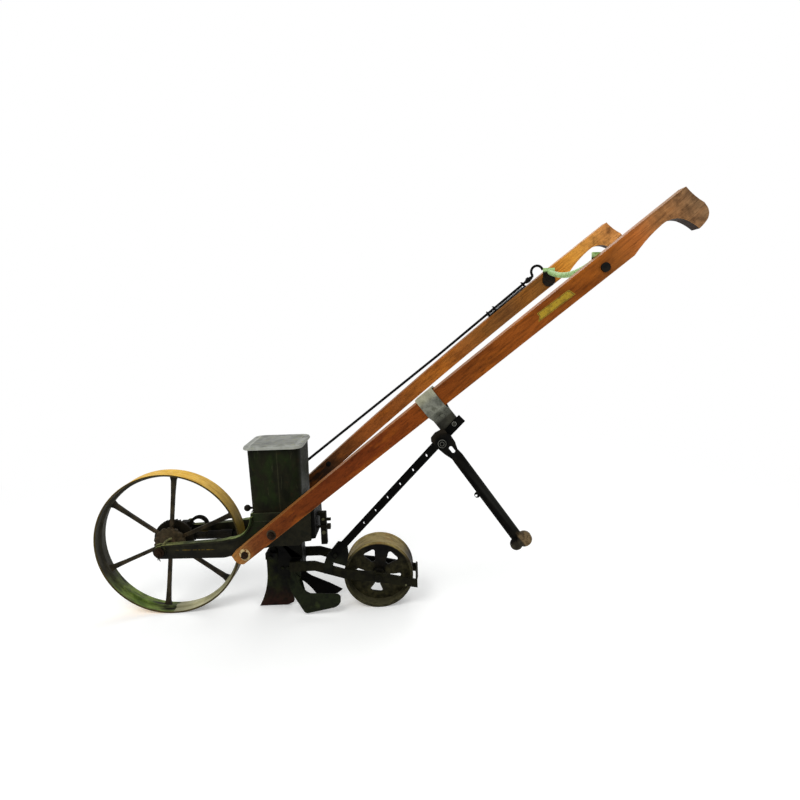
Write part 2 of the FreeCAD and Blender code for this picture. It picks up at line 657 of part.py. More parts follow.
def arm_outline(drawn):
    """Side view of a casting: round nose, straight arm, sweep up to the deck."""
    outline(drawn, [
        ("0", "wheel_radius - arm_nose"), ("arm_mid_x", "arm_mid_bottom"),
        ("boot_front", "deck_bottom"), ("deck_rear - deck_tail", "deck_bottom"),
        ("deck_rear - deck_tail * 2 / 3", "deck_bottom + 9"), ("deck_rear - 2", "deck_bottom + 11"),
        ("deck_rear", "deck_top"), ("deck_front", "deck_top"),
        ("deck_front", "deck_top - deck_step", "-deck_sweep"), (SWEEP_X, SWEEP_Z),
        ("arm_mid_x", "arm_mid_top"), ("0", "wheel_radius + arm_nose")])
    return drawn


def frame_arm():
    """Left side casting: web, top flange that follows the sweep, boss round the axle."""
    arm = body("frame_arm_left")
    web = arm_outline(sketch(arm, "XZ", "arm_web_outline", "arm_inner"))
    pad(web, "arm_web")
    nose = sketch(arm, "XZ", "arm_nose_outline", "arm_inner")
    circle(nose, "arm_nose", "0", "wheel_radius")
    pad(nose, "arm_web")
    flange = sketch(arm, "XZ", "arm_flange_outline", "arm_inner + arm_web")
    outline(flange, [
        ("6", "wheel_radius + arm_nose - flange_depth"),
        ("arm_mid_x", "arm_mid_top - flange_depth"),
        (SWEEP_X, f"{SWEEP_Z} - flange_depth", "deck_sweep + flange_depth"),
        ("deck_front + flange_depth", "deck_top - deck_step"),
        ("deck_front", "deck_top - deck_step", "-deck_sweep"), (SWEEP_X, SWEEP_Z),
        ("arm_mid_x", "arm_mid_top"), ("6", "wheel_radius + arm_nose")])
    pad(flange, "arm_flange")
    boss = sketch(arm, "XZ", "axle_boss", "arm_inner + arm_web")
    circle(boss, "axle_radius + 6", "0", "wheel_radius")
    pad(boss, "5")
    hole = sketch(arm, "XZ", "axle_hole", "arm_inner - 1")
    circle(hole, "axle_radius", "0", "wheel_radius")
    pad(hole, "arm_web + 10", cut=True, reverse=True)
    seat(arm)
    return keep(arm, "frame_arm_left")


def seed_base():
    """Casting between the arms: seed chamber, outlet to the boot, bore for the shaft."""
    base = body("seed_base")
    side = sketch(base, "XZ", "base_outline", "-arm_inner")
    outline(side, [
        ("deck_front + 2", "deck_bottom + 12"), ("boot_front", "deck_bottom"),
        ("boot_rear", "deck_bottom"), ("boot_rear + 12", "deck_bottom + 10"),
        ("deck_rear + 8", "deck_bottom + 14"), ("deck_rear + 8", "tail_height - 18"),
        ("deck_rear", "tail_height"), ("deck_rear - 9", "tail_height"),
        ("deck_rear - 9", "deck_top"), ("deck_front + 2", "deck_top")])
    pad(side, "arm_inner * 2")
    outlet = sketch(base, "XY", "seed_outlet", "deck_top")
    circle(outlet, "outlet_radius", "outlet_x")
    pad(outlet, "deck_top - deck_bottom + 1", cut=True)
    boss = sketch(base, "YZ", "shaft_boss", "deck_front + 8")
    circle(boss, "shaft_radius + 5", "shaft_y", "wheel_radius")
    pad(boss, "boot_front - deck_front - 8")
    bore = sketch(base, "YZ", "shaft_bore", "deck_front")
    circle(bore, "shaft_radius + running_gap", "shaft_y", "wheel_radius")
    pad(bore, "32", cut=True, reverse=True)
    seat(base)
    return keep(base, "seed_base")


def shaft_bearing():
    """Block on the right casting that carries the drive shaft."""
    reach = "arm_inner - shaft_y"
    post = block("bearing_block", "clutch_end + 8", "shaft_y - 8", "wheel_radius - 12",
                 "16", f"{reach} + 8", "24")
    bore = cylinder("bearing_bore", "shaft_radius + running_gap", "18",
                    "clutch_end + 7", "shaft_y", "wheel_radius", "X")
    return keep(less("shaft_bearing", post, bore), "shaft_bearing")


def clutch_yoke():
    """Curved shift hook over the collar, on a bracket of the right casting."""
    yoke = body("clutch_yoke")
    base = "wheel_radius + yoke_rise"
    plate = sketch(yoke, "XZ", "yoke_plate", "-arm_inner")
    box_outline(plate, "12", "34", "wheel_radius + 5", f"{base} + 10")
    pad(plate, "6")
    foot = sketch(yoke, "XZ", "yoke_foot", "-arm_inner + 6")
    outline(foot, [
        ("12", f"{base} - 4"), ("43", f"{base} - 4"), ("46", f"{base} + 3"),
        ("36", f"{base} + 11"), ("12", f"{base} + 10")])
    pad(foot, "arm_inner - shaft_y - 5")
    top = "wheel_radius + yoke_hook"
    hook = sketch(yoke, "XZ", "yoke_hook", "-shaft_y - 5")
    outline(hook, [
        ("34", f"{base} + 4", "-34"), ("58", top, "-25"), ("60 + 3 * yoke_bar", f"{base} - 6"),
        ("60 + 2 * yoke_bar", f"{base} - 8", "19"), ("59", f"{top} - yoke_bar", "20"),
        ("34 + yoke_bar", f"{base} + 2")])
    pad(hook, "6")
    seat(yoke)
    return keep(yoke, "clutch_yoke")


# --------------------------------------------------------------------- hopper

def round_box(drawn, grow):
    """Rectangle with rounded corners; grow is added on every side."""
    half_x = f"hopper_length / 2 + ({grow})"
    half_y = f"hopper_width / 2 + ({grow})"
    corner = f"hopper_corner + ({grow})"
    outline(drawn, [
        (f"-({half_x}) + ({corner})", f"-({half_y})"),
        (f"({half_x}) - ({corner})", f"-({half_y})", corner),
        (half_x, f"-({half_y}) + ({corner})"),
        (half_x, f"({half_y}) - ({corner})", corner),
        (f"({half_x}) - ({corner})", half_y),
        (f"-({half_x}) + ({corner})", half_y, corner),
        (f"-({half_x})", f"({half_y}) - ({corner})"),
        (f"-({half_x})", f"-({half_y}) + ({corner})", corner)])
    return drawn


def hopper():
    """Seed hopper: tapered box with round corners, open at the top."""
    bin_body = body("hopper")
    height = "hopper_top - deck_top"
    low = round_box(sketch(bin_body, "XY", "hopper_foot"), "-hopper_taper")
    high = round_box(sketch(bin_body, "XY", "hopper_mouth", height), "0")
    shell = bin_body.newObject("PartDesign::AdditiveLoft", "hopper_shell")
    shell.Profile = low
    shell.Sections = [high]
    shell.Ruled = True
    low_in = round_box(sketch(bin_body, "XY", "room_foot", "hopper_wall"),
                       "-hopper_taper - hopper_wall")
    high_in = round_box(sketch(bin_body, "XY", "room_mouth", height), "-hopper_wall")
    room = bin_body.newObject("PartDesign::SubtractiveLoft", "hopper_room")
    room.Profile = low_in
    room.Sections = [high_in]
    room.Ruled = True
    outlet = sketch(bin_body, "XY", "floor_outlet", "hopper_wall")
    circle(outlet, "outlet_radius", "outlet_x - hopper_x")
    pad(outlet, "hopper_wall + 1", cut=True)
    seat(bin_body, "hopper_x", "0", "deck_top")
    return keep(bin_body, "hopper")


def hopper_lid():
    """Tin lid: flat tray with a skirt, a wired edge, a raised panel and a knuckle."""
    lid = body("hopper_lid")
    top = round_box(sketch(lid, "XY", "lid_top"), "lid_overhang - lid_roll")
    pad(top, "lid_sheet + lid_panel / 2")
    skirt_out = round_box(sketch(lid, "XY", "skirt_outside"), "lid_overhang")
    round_box(skirt_out, "lid_overhang - 2 * lid_roll")
    pad(skirt_out, "lid_skirt", reverse=True)
    panel = round_box(sketch(lid, "XY", "lid_raised"), "lid_overhang - lid_margin")
    pad(panel, "lid_sheet + lid_panel")
    edge = "hopper_width / 2 + lid_overhang"
    web = sketch(lid, "YZ", "lid_tongue")
    box_outline(web, f"{edge} - lid_roll", f"{edge} + hinge_reach", "-lid_skirt",
                "-lid_skirt + hinge_radius + 2.4")
    pad(web, "hinge_length - 2 * hinge_ear - 2", both=True)
    knuckle = sketch(lid, "YZ", "lid_knuckle")
    circle(knuckle, "hinge_radius + 2.4", f"{edge} + hinge_reach", "-lid_skirt")
    pad(knuckle, "hinge_length - 2 * hinge_ear - 2", both=True)
    eye = sketch(lid, "YZ", "lid_eye")
    circle(eye, "hinge_radius + running_gap", f"{edge} + hinge_reach", "-lid_skirt")
    pad(eye, "hinge_length", both=True, cut=True)
    seat(lid, "hopper_x - lid_slip", "0", "hopper_top + seat_gap")
    return keep(lid, "hopper_lid")


def lid_hinge():
    """Hinge on the hopper's right side: leaf, two ears and the pin."""
    side = "hopper_width / 2"
    line_y = f"{side} + lid_overhang + hinge_reach"
    line_z = "hopper_top + seat_gap - lid_skirt"
    start = "hopper_x - lid_slip - hinge_length / 2"
    leaf = block("hinge_leaf", start, f"{side}", "hopper_top - 36", "hinge_length",
                 "2", "24")
    ears = []
    for name, place in (("hinge_ear_front", start),
                        ("hinge_ear_rear", f"{start} + hinge_length - hinge_ear")):
        ears.append(block(name, place, f"{side}", f"{line_z} - 13",
                          "hinge_ear", "lid_overhang + hinge_reach", "11"))
        ears.append(cylinder(name + "_eye", "hinge_radius + 2.5", "hinge_ear", place,
                             line_y, line_z, "X"))
    pin = cylinder("hinge_pin", "hinge_radius", "hinge_length", start, line_y, line_z, "X")
    return keep(fused("lid_hinge", leaf, pin, *ears), "lid_hinge")


def thumb_screw():
    """Thumb screw at the front foot of the hopper, near its left corner."""
    spot = "-hopper_width / 2 + hopper_corner"
    height = "deck_top + thumb_rise"
    wall = ("hopper_x - hopper_length / 2 + hopper_taper"
            " * (1 - thumb_rise / (hopper_top - deck_top)) - seat_gap / 3")
    stem = cylinder("thumb_stem", "3", "thumb_knob + 5", f"{wall} - thumb_knob - 5", spot, height, "X")
    knob = ball("thumb_ball", "thumb_knob", f"{wall} - thumb_knob - 5", spot, height, "90 deg")
    return keep(fused("thumb_screw", stem, knob), "thumb_screw")


# ------------------------------------------------- boot, opener and blades

def boot():
    """Seed boot under the base: hollow column with a crosshead for the fork bars."""
    column = body("boot")
    side = sketch(column, "XZ", "boot_outline", "-boot_half")
    outline(side, [
        ("boot_front", "deck_bottom"), ("boot_front - 2", "boot_bottom + 30"),
        ("boot_front - 2", "boot_bottom"), ("boot_rear - 12", "boot_bottom"),
        ("boot_rear", "boot_bottom + 12"), ("boot_rear", "deck_bottom")])
    pad(side, "boot_half * 2")
    head = sketch(column, "XZ", "crosshead_outline", "-fork_inner")
    outline(head, [
        ("boot_rear - 30", "fork_root_z - fork_depth / 2"),
        ("boot_rear - 2", "fork_root_z - fork_depth / 2"),
        ("boot_rear - 2", "fork_root_z + fork_depth / 2"),
        ("boot_rear - 30", "fork_root_z + fork_depth / 2")])
    pad(head, "fork_inner * 2")
    tube = sketch(column, "XY", "seed_tube", "deck_bottom")
    circle(tube, "outlet_radius", "outlet_x")
    pad(tube, "deck_bottom - boot_bottom + 1", cut=True)
    seat(column)
    return keep(column, "boot")


def furrow_opener():
    """Curved runner opener ahead of the seed tube, sharpened along its front."""
    opener = body("furrow_opener")
    side = sketch(opener, "XZ", "opener_outline")
    outline(side, [
        ("shank_front", "shank_top"), ("shank_front", "boot_bottom + heel_rise", "-opener_curve"),
        ("opener_toe", "ground_gap"), ("opener_heel - heel_step", "ground_gap"),
        ("opener_heel", "ground_gap + heel_rise"),
        ("opener_heel - 2", "boot_bottom - seat_gap"),
        ("boot_front - 3", "boot_bottom - seat_gap"), ("boot_front - 3", "shank_top")])
    pad(side, "opener_thickness", both=True)
    seat(opener)
    return keep(opener, "furrow_opener")


def opener_clamp():
    """Clamp that holds the opener's shank to the front of the boot."""
    jaw = block("clamp_jaw", "shank_front + 2", "-boot_half", "shank_top + seat_gap",
                "boot_front - shank_front - 4.5", "boot_half * 2", "18")
    neck = block("clamp_neck", "shank_front + 12", "-10", "shank_top + 12",
                 "boot_front - shank_front - 14", "20", "deck_bottom - shank_top - 12")
    bolt = cylinder("clamp_bolt", "5", "boot_half * 2 + 16", "shank_front + 16",
                    "-boot_half - 8", "shank_top + 9", "Y")
    return keep(fused("opener_clamp", jaw, neck, bolt), "opener_clamp")


def covering_blade(side, corners, tilt):
    """Covering blade: flat stem on the boot, bent out and swept back over the furrow."""
    name = f"blade_{side}"
    stem = body(name + "_stem")
    strip = sketch(stem, "XZ", name + "_stem_outline")
    box_outline(strip, "0", "blade_width", "blade_knee - blade_thickness",
                "fork_root_z - fork_depth / 2 - seat_gap")
    pad(strip, "blade_thickness")
    place(stem, "blade_front", "-boot_half - seat_gap", "0", "-blade_flare")
    wing = body(name + "_wing")
    plate = outline(sketch(wing, "XZ", name + "_wing_outline"), corners)
    pad(plate, "blade_thickness")
    where = "vector(axle_x + blade_front; -boot_half - seat_gap; blade_knee)"
    wing.setExpression("Placement", full(f"placement({where}; rotation(-blade_flare; 0; -{tilt}))"))
    return fused(f"blade_{side}_plates", stem, wing)


def covering_blades():
    """The broad left blade and the narrower, pointed right one."""
    left = covering_blade("left", [
        ("0", "0.5"), ("-4", "-0.2 * left_depth", "70"), ("0.2 * left_heel", "-0.53 * left_depth"),
        ("0.75 * left_heel", "-0.92 * left_depth", "14"), ("left_heel", "-left_depth"),
        ("0.88 * left_reach", "-left_depth + 15", "26"), ("left_reach", "-left_tail_depth"),
        ("left_reach", "-left_tail_depth + 0.6 * left_tail_width", "14"),
        ("0.92 * left_reach", "-left_tail_depth + left_tail_width"),
        ("left_throat", "-left_tail_depth + left_tail_width", "-48"),
        ("blade_width - 3", "-0.13 * left_depth"), ("blade_width", "0.5")], "left_tilt")
    keep(left, "covering_blade_left")
    right = covering_blade("right", [
        ("0", "1"), ("2", "-0.12 * right_depth"), ("0.3 * right_heel", "-0.4 * right_depth", "-160"),
        ("right_heel", "-0.92 * right_depth"), ("1.3 * right_heel", "-right_depth"),
        ("0.88 * right_reach", "-right_depth"), ("right_reach", "-right_tail_depth"),
        ("0.73 * right_reach", "-0.7 * right_tail_depth"),
        ("0.36 * right_reach", "-0.35 * right_tail_depth", "-60"),
        ("blade_width", "-0.08 * right_depth"), ("blade_width", "1")], "right_tilt")
    mirrored(right, "covering_blade_right")


# ------------------------------------------------------- press wheel and fork

def press_wheel():
    """Cast press wheel: hollowed tread between two lips, dished disc with windows."""
    wheel = body("press_wheel")
    half = "press_width / 2"
    inner = "press_radius - press_rim - press_hollow"
    rim = sketch(wheel, "XY", "press_section")
    outline(rim, [
        (inner, f"-({half})"), ("press_radius", f"-({half})"),
        ("press_radius", f"-({half} - 6)"),
        ("press_radius - press_hollow", f"-({half} - 16)"),
        ("press_radius - press_hollow", f"{half} - 16"),
        ("press_radius", f"{half} - 6"), ("press_radius", half), (inner, half),
        (inner, "press_disc / 2"), ("press_hub + 10", "-press_dish + press_disc / 2"),
        ("press_hub", "-press_dish + press_disc / 2"), ("press_hub", half),
        ("press_axle_radius + running_gap", half),
        ("press_axle_radius + running_gap", f"-({half})"), ("press_hub", f"-({half})"),
        ("press_hub", "-press_dish - press_disc / 2"),
        ("press_hub + 10", "-press_dish - press_disc / 2"), (inner, "-press_disc / 2")])
    turned(rim)
    window = sketch(wheel, "XZ", "press_window")
    near = "(press_hole_circle - window_height / 2)"
    far = "(press_hole_circle + window_height / 2)"
    low = "window_inner / 2"
    wide = "window_outer / 2"
    bend = "window_corner"
    outline(window, [
        (near, f"-{low} + {bend} / 2", bend), (f"{near} + {bend}", f"-{low}"),
        (f"{far} - {bend}", f"-{wide}", bend), (far, f"-{wide} + {bend}"),
        (far, f"{wide} - {bend}", bend), (f"{far} - {bend}", wide),
        (f"{near} + {bend}", low, bend), (near, f"{low} - {bend} / 2")])
    hole = pad(window, "press_width", both=True, cut=True)
    round_pattern(hole, window, "press_windows")
    seat(wheel, "press_x", "0", "press_radius", "-45", (0, 1, 0))
    return keep(wheel, "press_wheel")


def press_axle():
    """Axle of the press wheel, through both fork bars."""
    reach = "fork_inner + fork_thickness + 6"
    axle = cylinder("press_axle", "press_axle_radius", f"2 * ({reach})", "press_x",
                    f"-({reach})", "press_radius", "Y")
    return keep(axle, "press_axle")


def fork_bar():
    """Left fork bar: from the boot past the press wheel's axle to the scraper."""
    bar = body("fork_bar_left")
    half = "fork_depth / 2"
    side = sketch(bar, "XZ", "fork_outline", "fork_inner")
    outline(side, [
        ("boot_rear - 30", f"fork_root_z - {half}"), ("boot_rear + 36", f"fork_root_z - {half}"),
        ("fork_bend_x", f"fork_bend_z - {half}"), ("press_x", f"press_radius - {half}"),
        ("fork_tail_x", f"fork_tail_z - {half} + 2"), ("fork_tail_x", f"fork_tail_z + {half} - 2"),
        ("press_x", f"press_radius + {half}"), ("fork_bend_x", f"fork_bend_z + {half}"),
        ("boot_rear + 36", f"fork_root_z + {half}"), ("boot_rear - 30", f"fork_root_z + {half}")])
    pad(side, "fork_thickness")
    hole = sketch(bar, "XZ", "fork_hole", "fork_inner - 1")
    circle(hole, "press_axle_radius", "press_x", "press_radius")
    pad(hole, "fork_thickness + 2", cut=True, reverse=True)
    seat(bar)
    return keep(bar, "fork_bar_left")


def scraper():
    """Plate across the fork bars' rear ends that cleans the press wheel."""
    blade = body("scraper")
    side = sketch(blade, "XZ", "scraper_section")
    near = "press_x + press_radius + scraper_gap"
    outline(side, [
        (near, "fork_tail_z + 6"), (f"{near} + scraper_sheet", "fork_tail_z + 4"),
        (f"{near} + scraper_sheet + 3", "fork_tail_z + scraper_height - 2"),
        (f"{near} + 2", "fork_tail_z + scraper_height")])
    pad(side, "fork_inner * 2", both=True)
    seat(blade)
    return keep(blade, "scraper")


# -------------------------------------------------------------------- handles
# The left handle's middle line is an arc in plan.  Its chord runs from the foot to
# the end of the grip; PLAN_Y(x) is the arc's distance from the middle plane at x.

PLAN_START = "(bolt_x - handle_tail * cos(handle_rise))"
PLAN_END = "(bolt_x + handle_length * cos(handle_rise))"
PLAN_RUN = f"({PLAN_END} - {PLAN_START})"
PLAN_CHORD = f"sqrt({PLAN_RUN}^2 + (spread_end - spread_start)^2)"
PLAN_RADIUS = f"(({PLAN_CHORD})^2 / (8 * spread_bow) + spread_bow / 2)"
PLAN_X = (f"(({PLAN_START} + {PLAN_END}) / 2 + (spread_end - spread_start)"
          f" / {PLAN_CHORD} * ({PLAN_RADIUS} - spread_bow))")
PLAN_Y = (f"({PLAN_RUN} / {PLAN_CHORD} * ({PLAN_RADIUS} - spread_bow)"
          " - (spread_start + spread_end) / 2)")


def plan_distance(x):
    """Distance of the handle's middle line from the middle plane at x."""
    return f"(sqrt({PLAN_RADIUS}^2 - (({x}) - {PLAN_X})^2) - {PLAN_Y})"


def plan_yaw(x):
    """Direction of the left handle in plan at x, in degrees about +Z."""
    return f"asin((({x}) - {PLAN_X}) / {PLAN_RADIUS})"


def rise_height(x, lift="0"):
    """Height of the handle's chord line at x, lifted square to it."""
    return f"(bolt_z + (({x}) - bolt_x) * tan(handle_rise) + ({lift}) / cos(handle_rise))"


def place(obj, x, y, z, yaw="0", pitch="0"):
    """Place a piece with a yaw about +Z and an upward pitch along its own +X."""
    where = f"vector(axle_x + ({x}); {y}; {z})"
    obj.setExpression("Placement", full(f"placement({where}; rotation({yaw}; -({pitch}); 0))"))
    return obj


def handle_profile():
    """Side view of a handle, drawn along the line from its lower bolt to the grip."""
    profile = body("handle_profile")
    side = sketch(profile, "XZ", "handle_outline")
    end = "handle_length"
    full_run = "(handle_length + handle_tail - 2.5)"
    under_run = "(handle_length + handle_tail - grip_length - 16)"
    outline(side, [
        ("-handle_tail + 16", "-handle_half_foot", f"-({under_run}^2 / (8 * handle_under_bow))"),
        (f"{end} - grip_length", "-grip_shoulder", "-300"),
        (f"{end} - grip_neck_back", "-grip_neck", "-50"),
        (f"{end} - grip_throat_back", "-grip_throat", "-120"),
        (f"{end} - grip_tip_back", "-grip_tip", "80"),
        (f"{end} - grip_nose + 1", "-grip_tip + 3", "24"),
        (f"{end} + grip_nose", "-grip_tip / 2"), (f"{end} + grip_nose", "-grip_throat", "-150"),
        (f"{end} - 2.5", "handle_top_end", f"{full_run}^2 / (8 * handle_top_bow)"),
        ("-handle_tail", "handle_half_foot"),
        ("-handle_tail", "handle_half_foot - 6", "foot_round")])
    pad(side, "spread_end * 3", both=True)
    return place(profile, "bolt_x", "0", "bolt_z", "0", "handle_rise")


def handle():
    """Left handle: the side view cut from a plank that is bent in plan."""
    profile = handle_profile()
    rings = []
    for name, side in (("bend_outside", "+"), ("bend_inside", "-")):
        ring = doc.addObject("Part::Cylinder", name)
        ring.setExpression("Radius", full(f"{PLAN_RADIUS} {side} handle_thickness / 2"))
        ring.setExpression("Height", full("handle_length"))
        seat(ring, PLAN_X, PLAN_Y, "0")
        rings.append(ring)
    bend = less("handle_bend", rings[0], rings[1])
    blank = doc.addObject("Part::MultiCommon", "handle_blank")
    blank.Shapes = [profile, bend]
    drills = [bolt_shank(name, x, z, "handle_hole")
              for name, x, z in (("drill_low", "bolt_x", "bolt_z"),
                                 ("drill_high", UPPER_X, UPPER_Z),
                                 ("drill_brace", "brace_x", "brace_z"))]
    return blank, keep(less("handle_left", blank, fused("handle_drills", *drills)),
                       "handle_left")


UPPER_X = "(bolt_x + bolt_pitch * cos(handle_rise))"
UPPER_Z = "(bolt_z + bolt_pitch * sin(handle_rise))"


def bolt_shank(name, x, z, radius):
    """Bar through the left handle at (x, z), long enough for its bolt's head."""
    outer = f"({plan_distance(x)} + handle_thickness / 2)"
    return cylinder(name, radius, "handle_thickness + 12", x, f"-{outer} - 5", z)


def bolt_head(name, x, z, radius, height):
    """Round head on the outer face of the left handle."""
    outer = f"({plan_distance(x)} + handle_thickness / 2)"
    return cylinder(name, radius, height, x, f"-{outer} - {height} - 0.8", z)


def handle_lug(blank):
    """Two cast lugs that stand out from the side casting, with the handle's bolts."""
    parts = []
    for name, x, z in (("lug_low", "bolt_x", "bolt_z"), ("lug_high", UPPER_X, UPPER_Z)):
        start = f"{plan_distance(x)} - handle_thickness / 3"
        raw = cylinder(name, "lug_radius", f"{start} - arm_inner - arm_web", x,
                       f"-({start})", z)
        head = bolt_head(name + "_head", x, z, "9", "6")
        parts.append(less(name + "_fitted", raw, blank))
        parts.append(less(name + "_head_fitted", head, blank))
        parts.append(bolt_shank(name + "_bolt", x, z, "handle_bolt"))
    return keep(fused("handle_lug_left", *parts), "handle_lug_left")


def spreader_brace(blank):
    """Green bar between the handles, dipping in the middle, with a plate at each end."""
    inner = f"({plan_distance('brace_x')} - handle_thickness / 2)"
    bar = body("brace_bar")
    path = sketch(bar, "YZ", "brace_path")
    span = f"({inner} - brace_pad_thickness / 2)"
    outline(path, [
        (f"-{span}", "0", f"{span}^2 / (2 * brace_sag) + brace_sag / 2"), (span, "0")],
        closed=False)
    ring = sketch(bar, "XZ", "brace_ring", span)
    circle(ring, "brace_radius")
    pipe = bar.newObject("PartDesign::AdditivePipe", "brace_pipe")
    pipe.Profile = ring
    pipe.Spine = path
    seat(bar, "brace_x", "0", "brace_z + brace_lift")
    parts = [bar]
    for name, side in (("left", -1), ("right", 1)):
        parts.append(fitted_pad(name, inner, side, blank))
    return keep(fused("spreader_brace", *parts), "spreader_brace")


def fitted_pad(name, inner, side, blank):
    """Round pad of the spreader with its bolt; side is -1 for the left handle."""
    start = f"-{inner} - 1.5" if side < 0 else f"{inner} + 1.5 - brace_pad_thickness"
    round_end = cylinder(f"brace_pad_{name}", "brace_pad", "brace_pad_thickness", "brace_x",
                         start, "brace_z")
    cheek = block(f"brace_cheek_{name}", "brace_x - brace_cheek", start, "brace_z",
                  "brace_cheek * 2", "brace_pad_thickness", "brace_lift + brace_radius + 3")
    raw = fused(f"brace_plate_{name}", round_end, cheek)
    shank = bolt_shank(f"brace_bolt_{name}", "brace_x", "brace_z", "handle_bolt")
    head = bolt_head(f"brace_head_{name}", "brace_x", "brace_z", "10", "6")
    pin = fused(f"brace_pin_{name}", shank, less(f"brace_head_seat_{name}", head, blank))
    if side < 0:
        return fused(f"brace_end_{name}", less(f"brace_seat_{name}", raw, blank), pin)
    twin = doc.addObject("Part::Mirroring", f"brace_blank_{name}")
    twin.Source = blank
    twin.Normal = (0, 1, 0)
    bolt = doc.addObject("Part::Mirroring", f"brace_pin_twin_{name}")
    bolt.Source = pin
    bolt.Normal = (0, 1, 0)
    return fused(f"brace_end_{name}", less(f"brace_seat_{name}", raw, twin), bolt)


# ------------------------------------------------ perforated bar, strap and leg
# The bar stands between the left fork bar and the left handle.  Its middle part runs
# outward; its two ends are bent back so that they lie flat against what holds them.

BAR_FOOT_Y = "(fork_inner + fork_thickness + bracket_sheet + bar_thickness / 2 + seat_gap)"
BAR_SEAT = "(strap_sheet + seat_gap + bar_thickness / 2)"
BAR_TOP_Y = (f"({plan_distance('strap_x')} - (bar_top_x - strap_x)"
             f" * tan({plan_yaw('strap_x')}) + {BAR_SEAT} / cos({plan_yaw('strap_x')}))")
BAR_SPLAY = f"atan(({BAR_TOP_Y} - {BAR_FOOT_Y}) / (bar_top_x - bar_x))"
BAR_RUN = f"((bar_top_x - bar_x) / cos({BAR_SPLAY}))"
BAR_LEAN = f"atan((bar_top_z - bar_z) / {BAR_RUN})"
BAR_LENGTH = f"({BAR_RUN} / cos({BAR_LEAN}))"


def along_bar(run):
    """Place (x, y, z) on the bar's middle line, run from its lower bend."""
    level = f"({run}) * cos({BAR_LEAN})"
    return (f"(bar_x + {level} * cos({BAR_SPLAY}))",
            f"(-{BAR_FOOT_Y} - {level} * sin({BAR_SPLAY}))",
            f"(bar_z + ({run}) * sin({BAR_LEAN}))")


def strap_bolt(name, radius, length, u, v):
    """Bar square to the strap's plate, at u along the handle and v above its line."""
    yaw = plan_yaw("strap_x")
    ahead = f"(({u}) * cos(handle_rise) - ({v}) * sin(handle_rise))"
    x = f"strap_x + {ahead} * cos({yaw}) + ({length}) / 2 * sin({yaw})"
    y = f"-{plan_distance('strap_x')} + {ahead} * sin({yaw}) - ({length}) / 2 * cos({yaw})"
    z = f"{rise_height('strap_x')} + ({u}) * sin(handle_rise) + ({v}) * cos(handle_rise)"
    made = doc.addObject("Part::Cylinder", name)
    made.setExpression("Radius", full(radius))
    made.setExpression("Height", full(length))
    where = f"vector(axle_x + {x}; {y}; {z})"
    made.setExpression("Placement", full(f"placement({where}; rotation({yaw}; 0; -90))"))
    return made


def bar_plank(name, start, length):
    """Flat bar along its own X, from start, with its thickness along Y."""
    plank = body(name)
    side = sketch(plank, "XZ", name + "_outline")
    box_outline(side, start, length, "-bar_width / 2", "bar_width / 2")
    pad(side, "bar_thickness", both=True)
    return plank


def perforated_bar():
    """Flat bar with a row of holes and both ends bent into line with their seats."""
    middle = bar_plank("bar_middle", "bar_width / 2", BAR_LENGTH)
    hole = sketch(middle, "XZ", "bar_hole_outline")
    circle(hole, "bar_hole", "bar_first_hole")
    drilled = pad(hole, "bar_thickness * 3", both=True, cut=True)
    row = middle.newObject("PartDesign::LinearPattern", "bar_hole_row")
    row.Originals = [drilled]
    row.Direction = (hole, ["H_Axis"])
    row.Mode = "Spacing"
    row.setExpression("Offset", full("bar_pitch"))
    row.setExpression("Occurrences", full("bar_holes"))
    middle.Tip = row
    place(middle, "bar_x", f"-{BAR_FOOT_Y}", "bar_z", f"-{BAR_SPLAY}", BAR_LEAN)
    foot = bar_plank("bar_foot", "0", "bar_foot_length + bar_width / 2 + 4")
    place(foot, f"bar_x - bar_foot_length * cos({BAR_LEAN})", f"-{BAR_FOOT_Y}",
          f"bar_z - bar_foot_length * sin({BAR_LEAN})", "0", BAR_LEAN)
    head = bar_plank("bar_head", "0", "bar_head_length")
    place(head, "bar_top_x - 1", f"-{BAR_TOP_Y}", "bar_top_z - 1",
          plan_yaw("strap_x"), BAR_LEAN)
    bent = fused("bar_bent", middle, foot, head)
    holes = fused("bar_end_holes", foot_bolt("bar_foot_hole", "handle_hole"),
                  strap_bolt("bar_head_hole", "handle_hole", "40", *STRAP_LOW_BOLT),
                  leg_shank("bar_leg_hole", "leg_pin + 0.2"))
    keep(less("perforated_bar", bent, holes), "perforated_bar")
    return bent


STRAP_LOW_BOLT = ("11", "-55")
STRAP_HIGH_BOLT = ("2", "-26")


def foot_bolt(name, radius):
    """Bar along Y through the bent foot of the perforated bar and its bracket."""
    return cylinder(name, radius, "22", "bar_x - 9",
                    "-fork_inner - fork_thickness - bracket_sheet - 12", "bar_z - 9")


def brace_bracket():
    """Plate on the left fork bar that holds the foot of the perforated bar."""
    plate = body("bracket_plate")
    side = sketch(plate, "XZ", "bracket_outline", "fork_inner + fork_thickness")
    outline(side, [
        ("bar_x - 42", "bar_z - 62"), ("bar_x - 22", "bar_z - 65"),
        ("bar_x - 16", "bar_z - 33"), ("bar_x + 16", "bar_z - 44"),
        ("bar_x + 24", "bar_z - 14"), ("bar_x + 22", "bar_z + 10"),
        ("bar_x + 14", "bar_z + 22"), ("bar_x - 2", "bar_z + 24"),
        ("bar_x - 22", "bar_z"), ("bar_x - 32", "bar_z - 12"), ("bar_x - 42", "bar_z - 38")])
    pad(side, "bracket_sheet")
    seat(plate)
    return keep(fused("brace_bracket", plate, foot_bolt("bracket_bolt", "handle_bolt")),
                "brace_bracket")


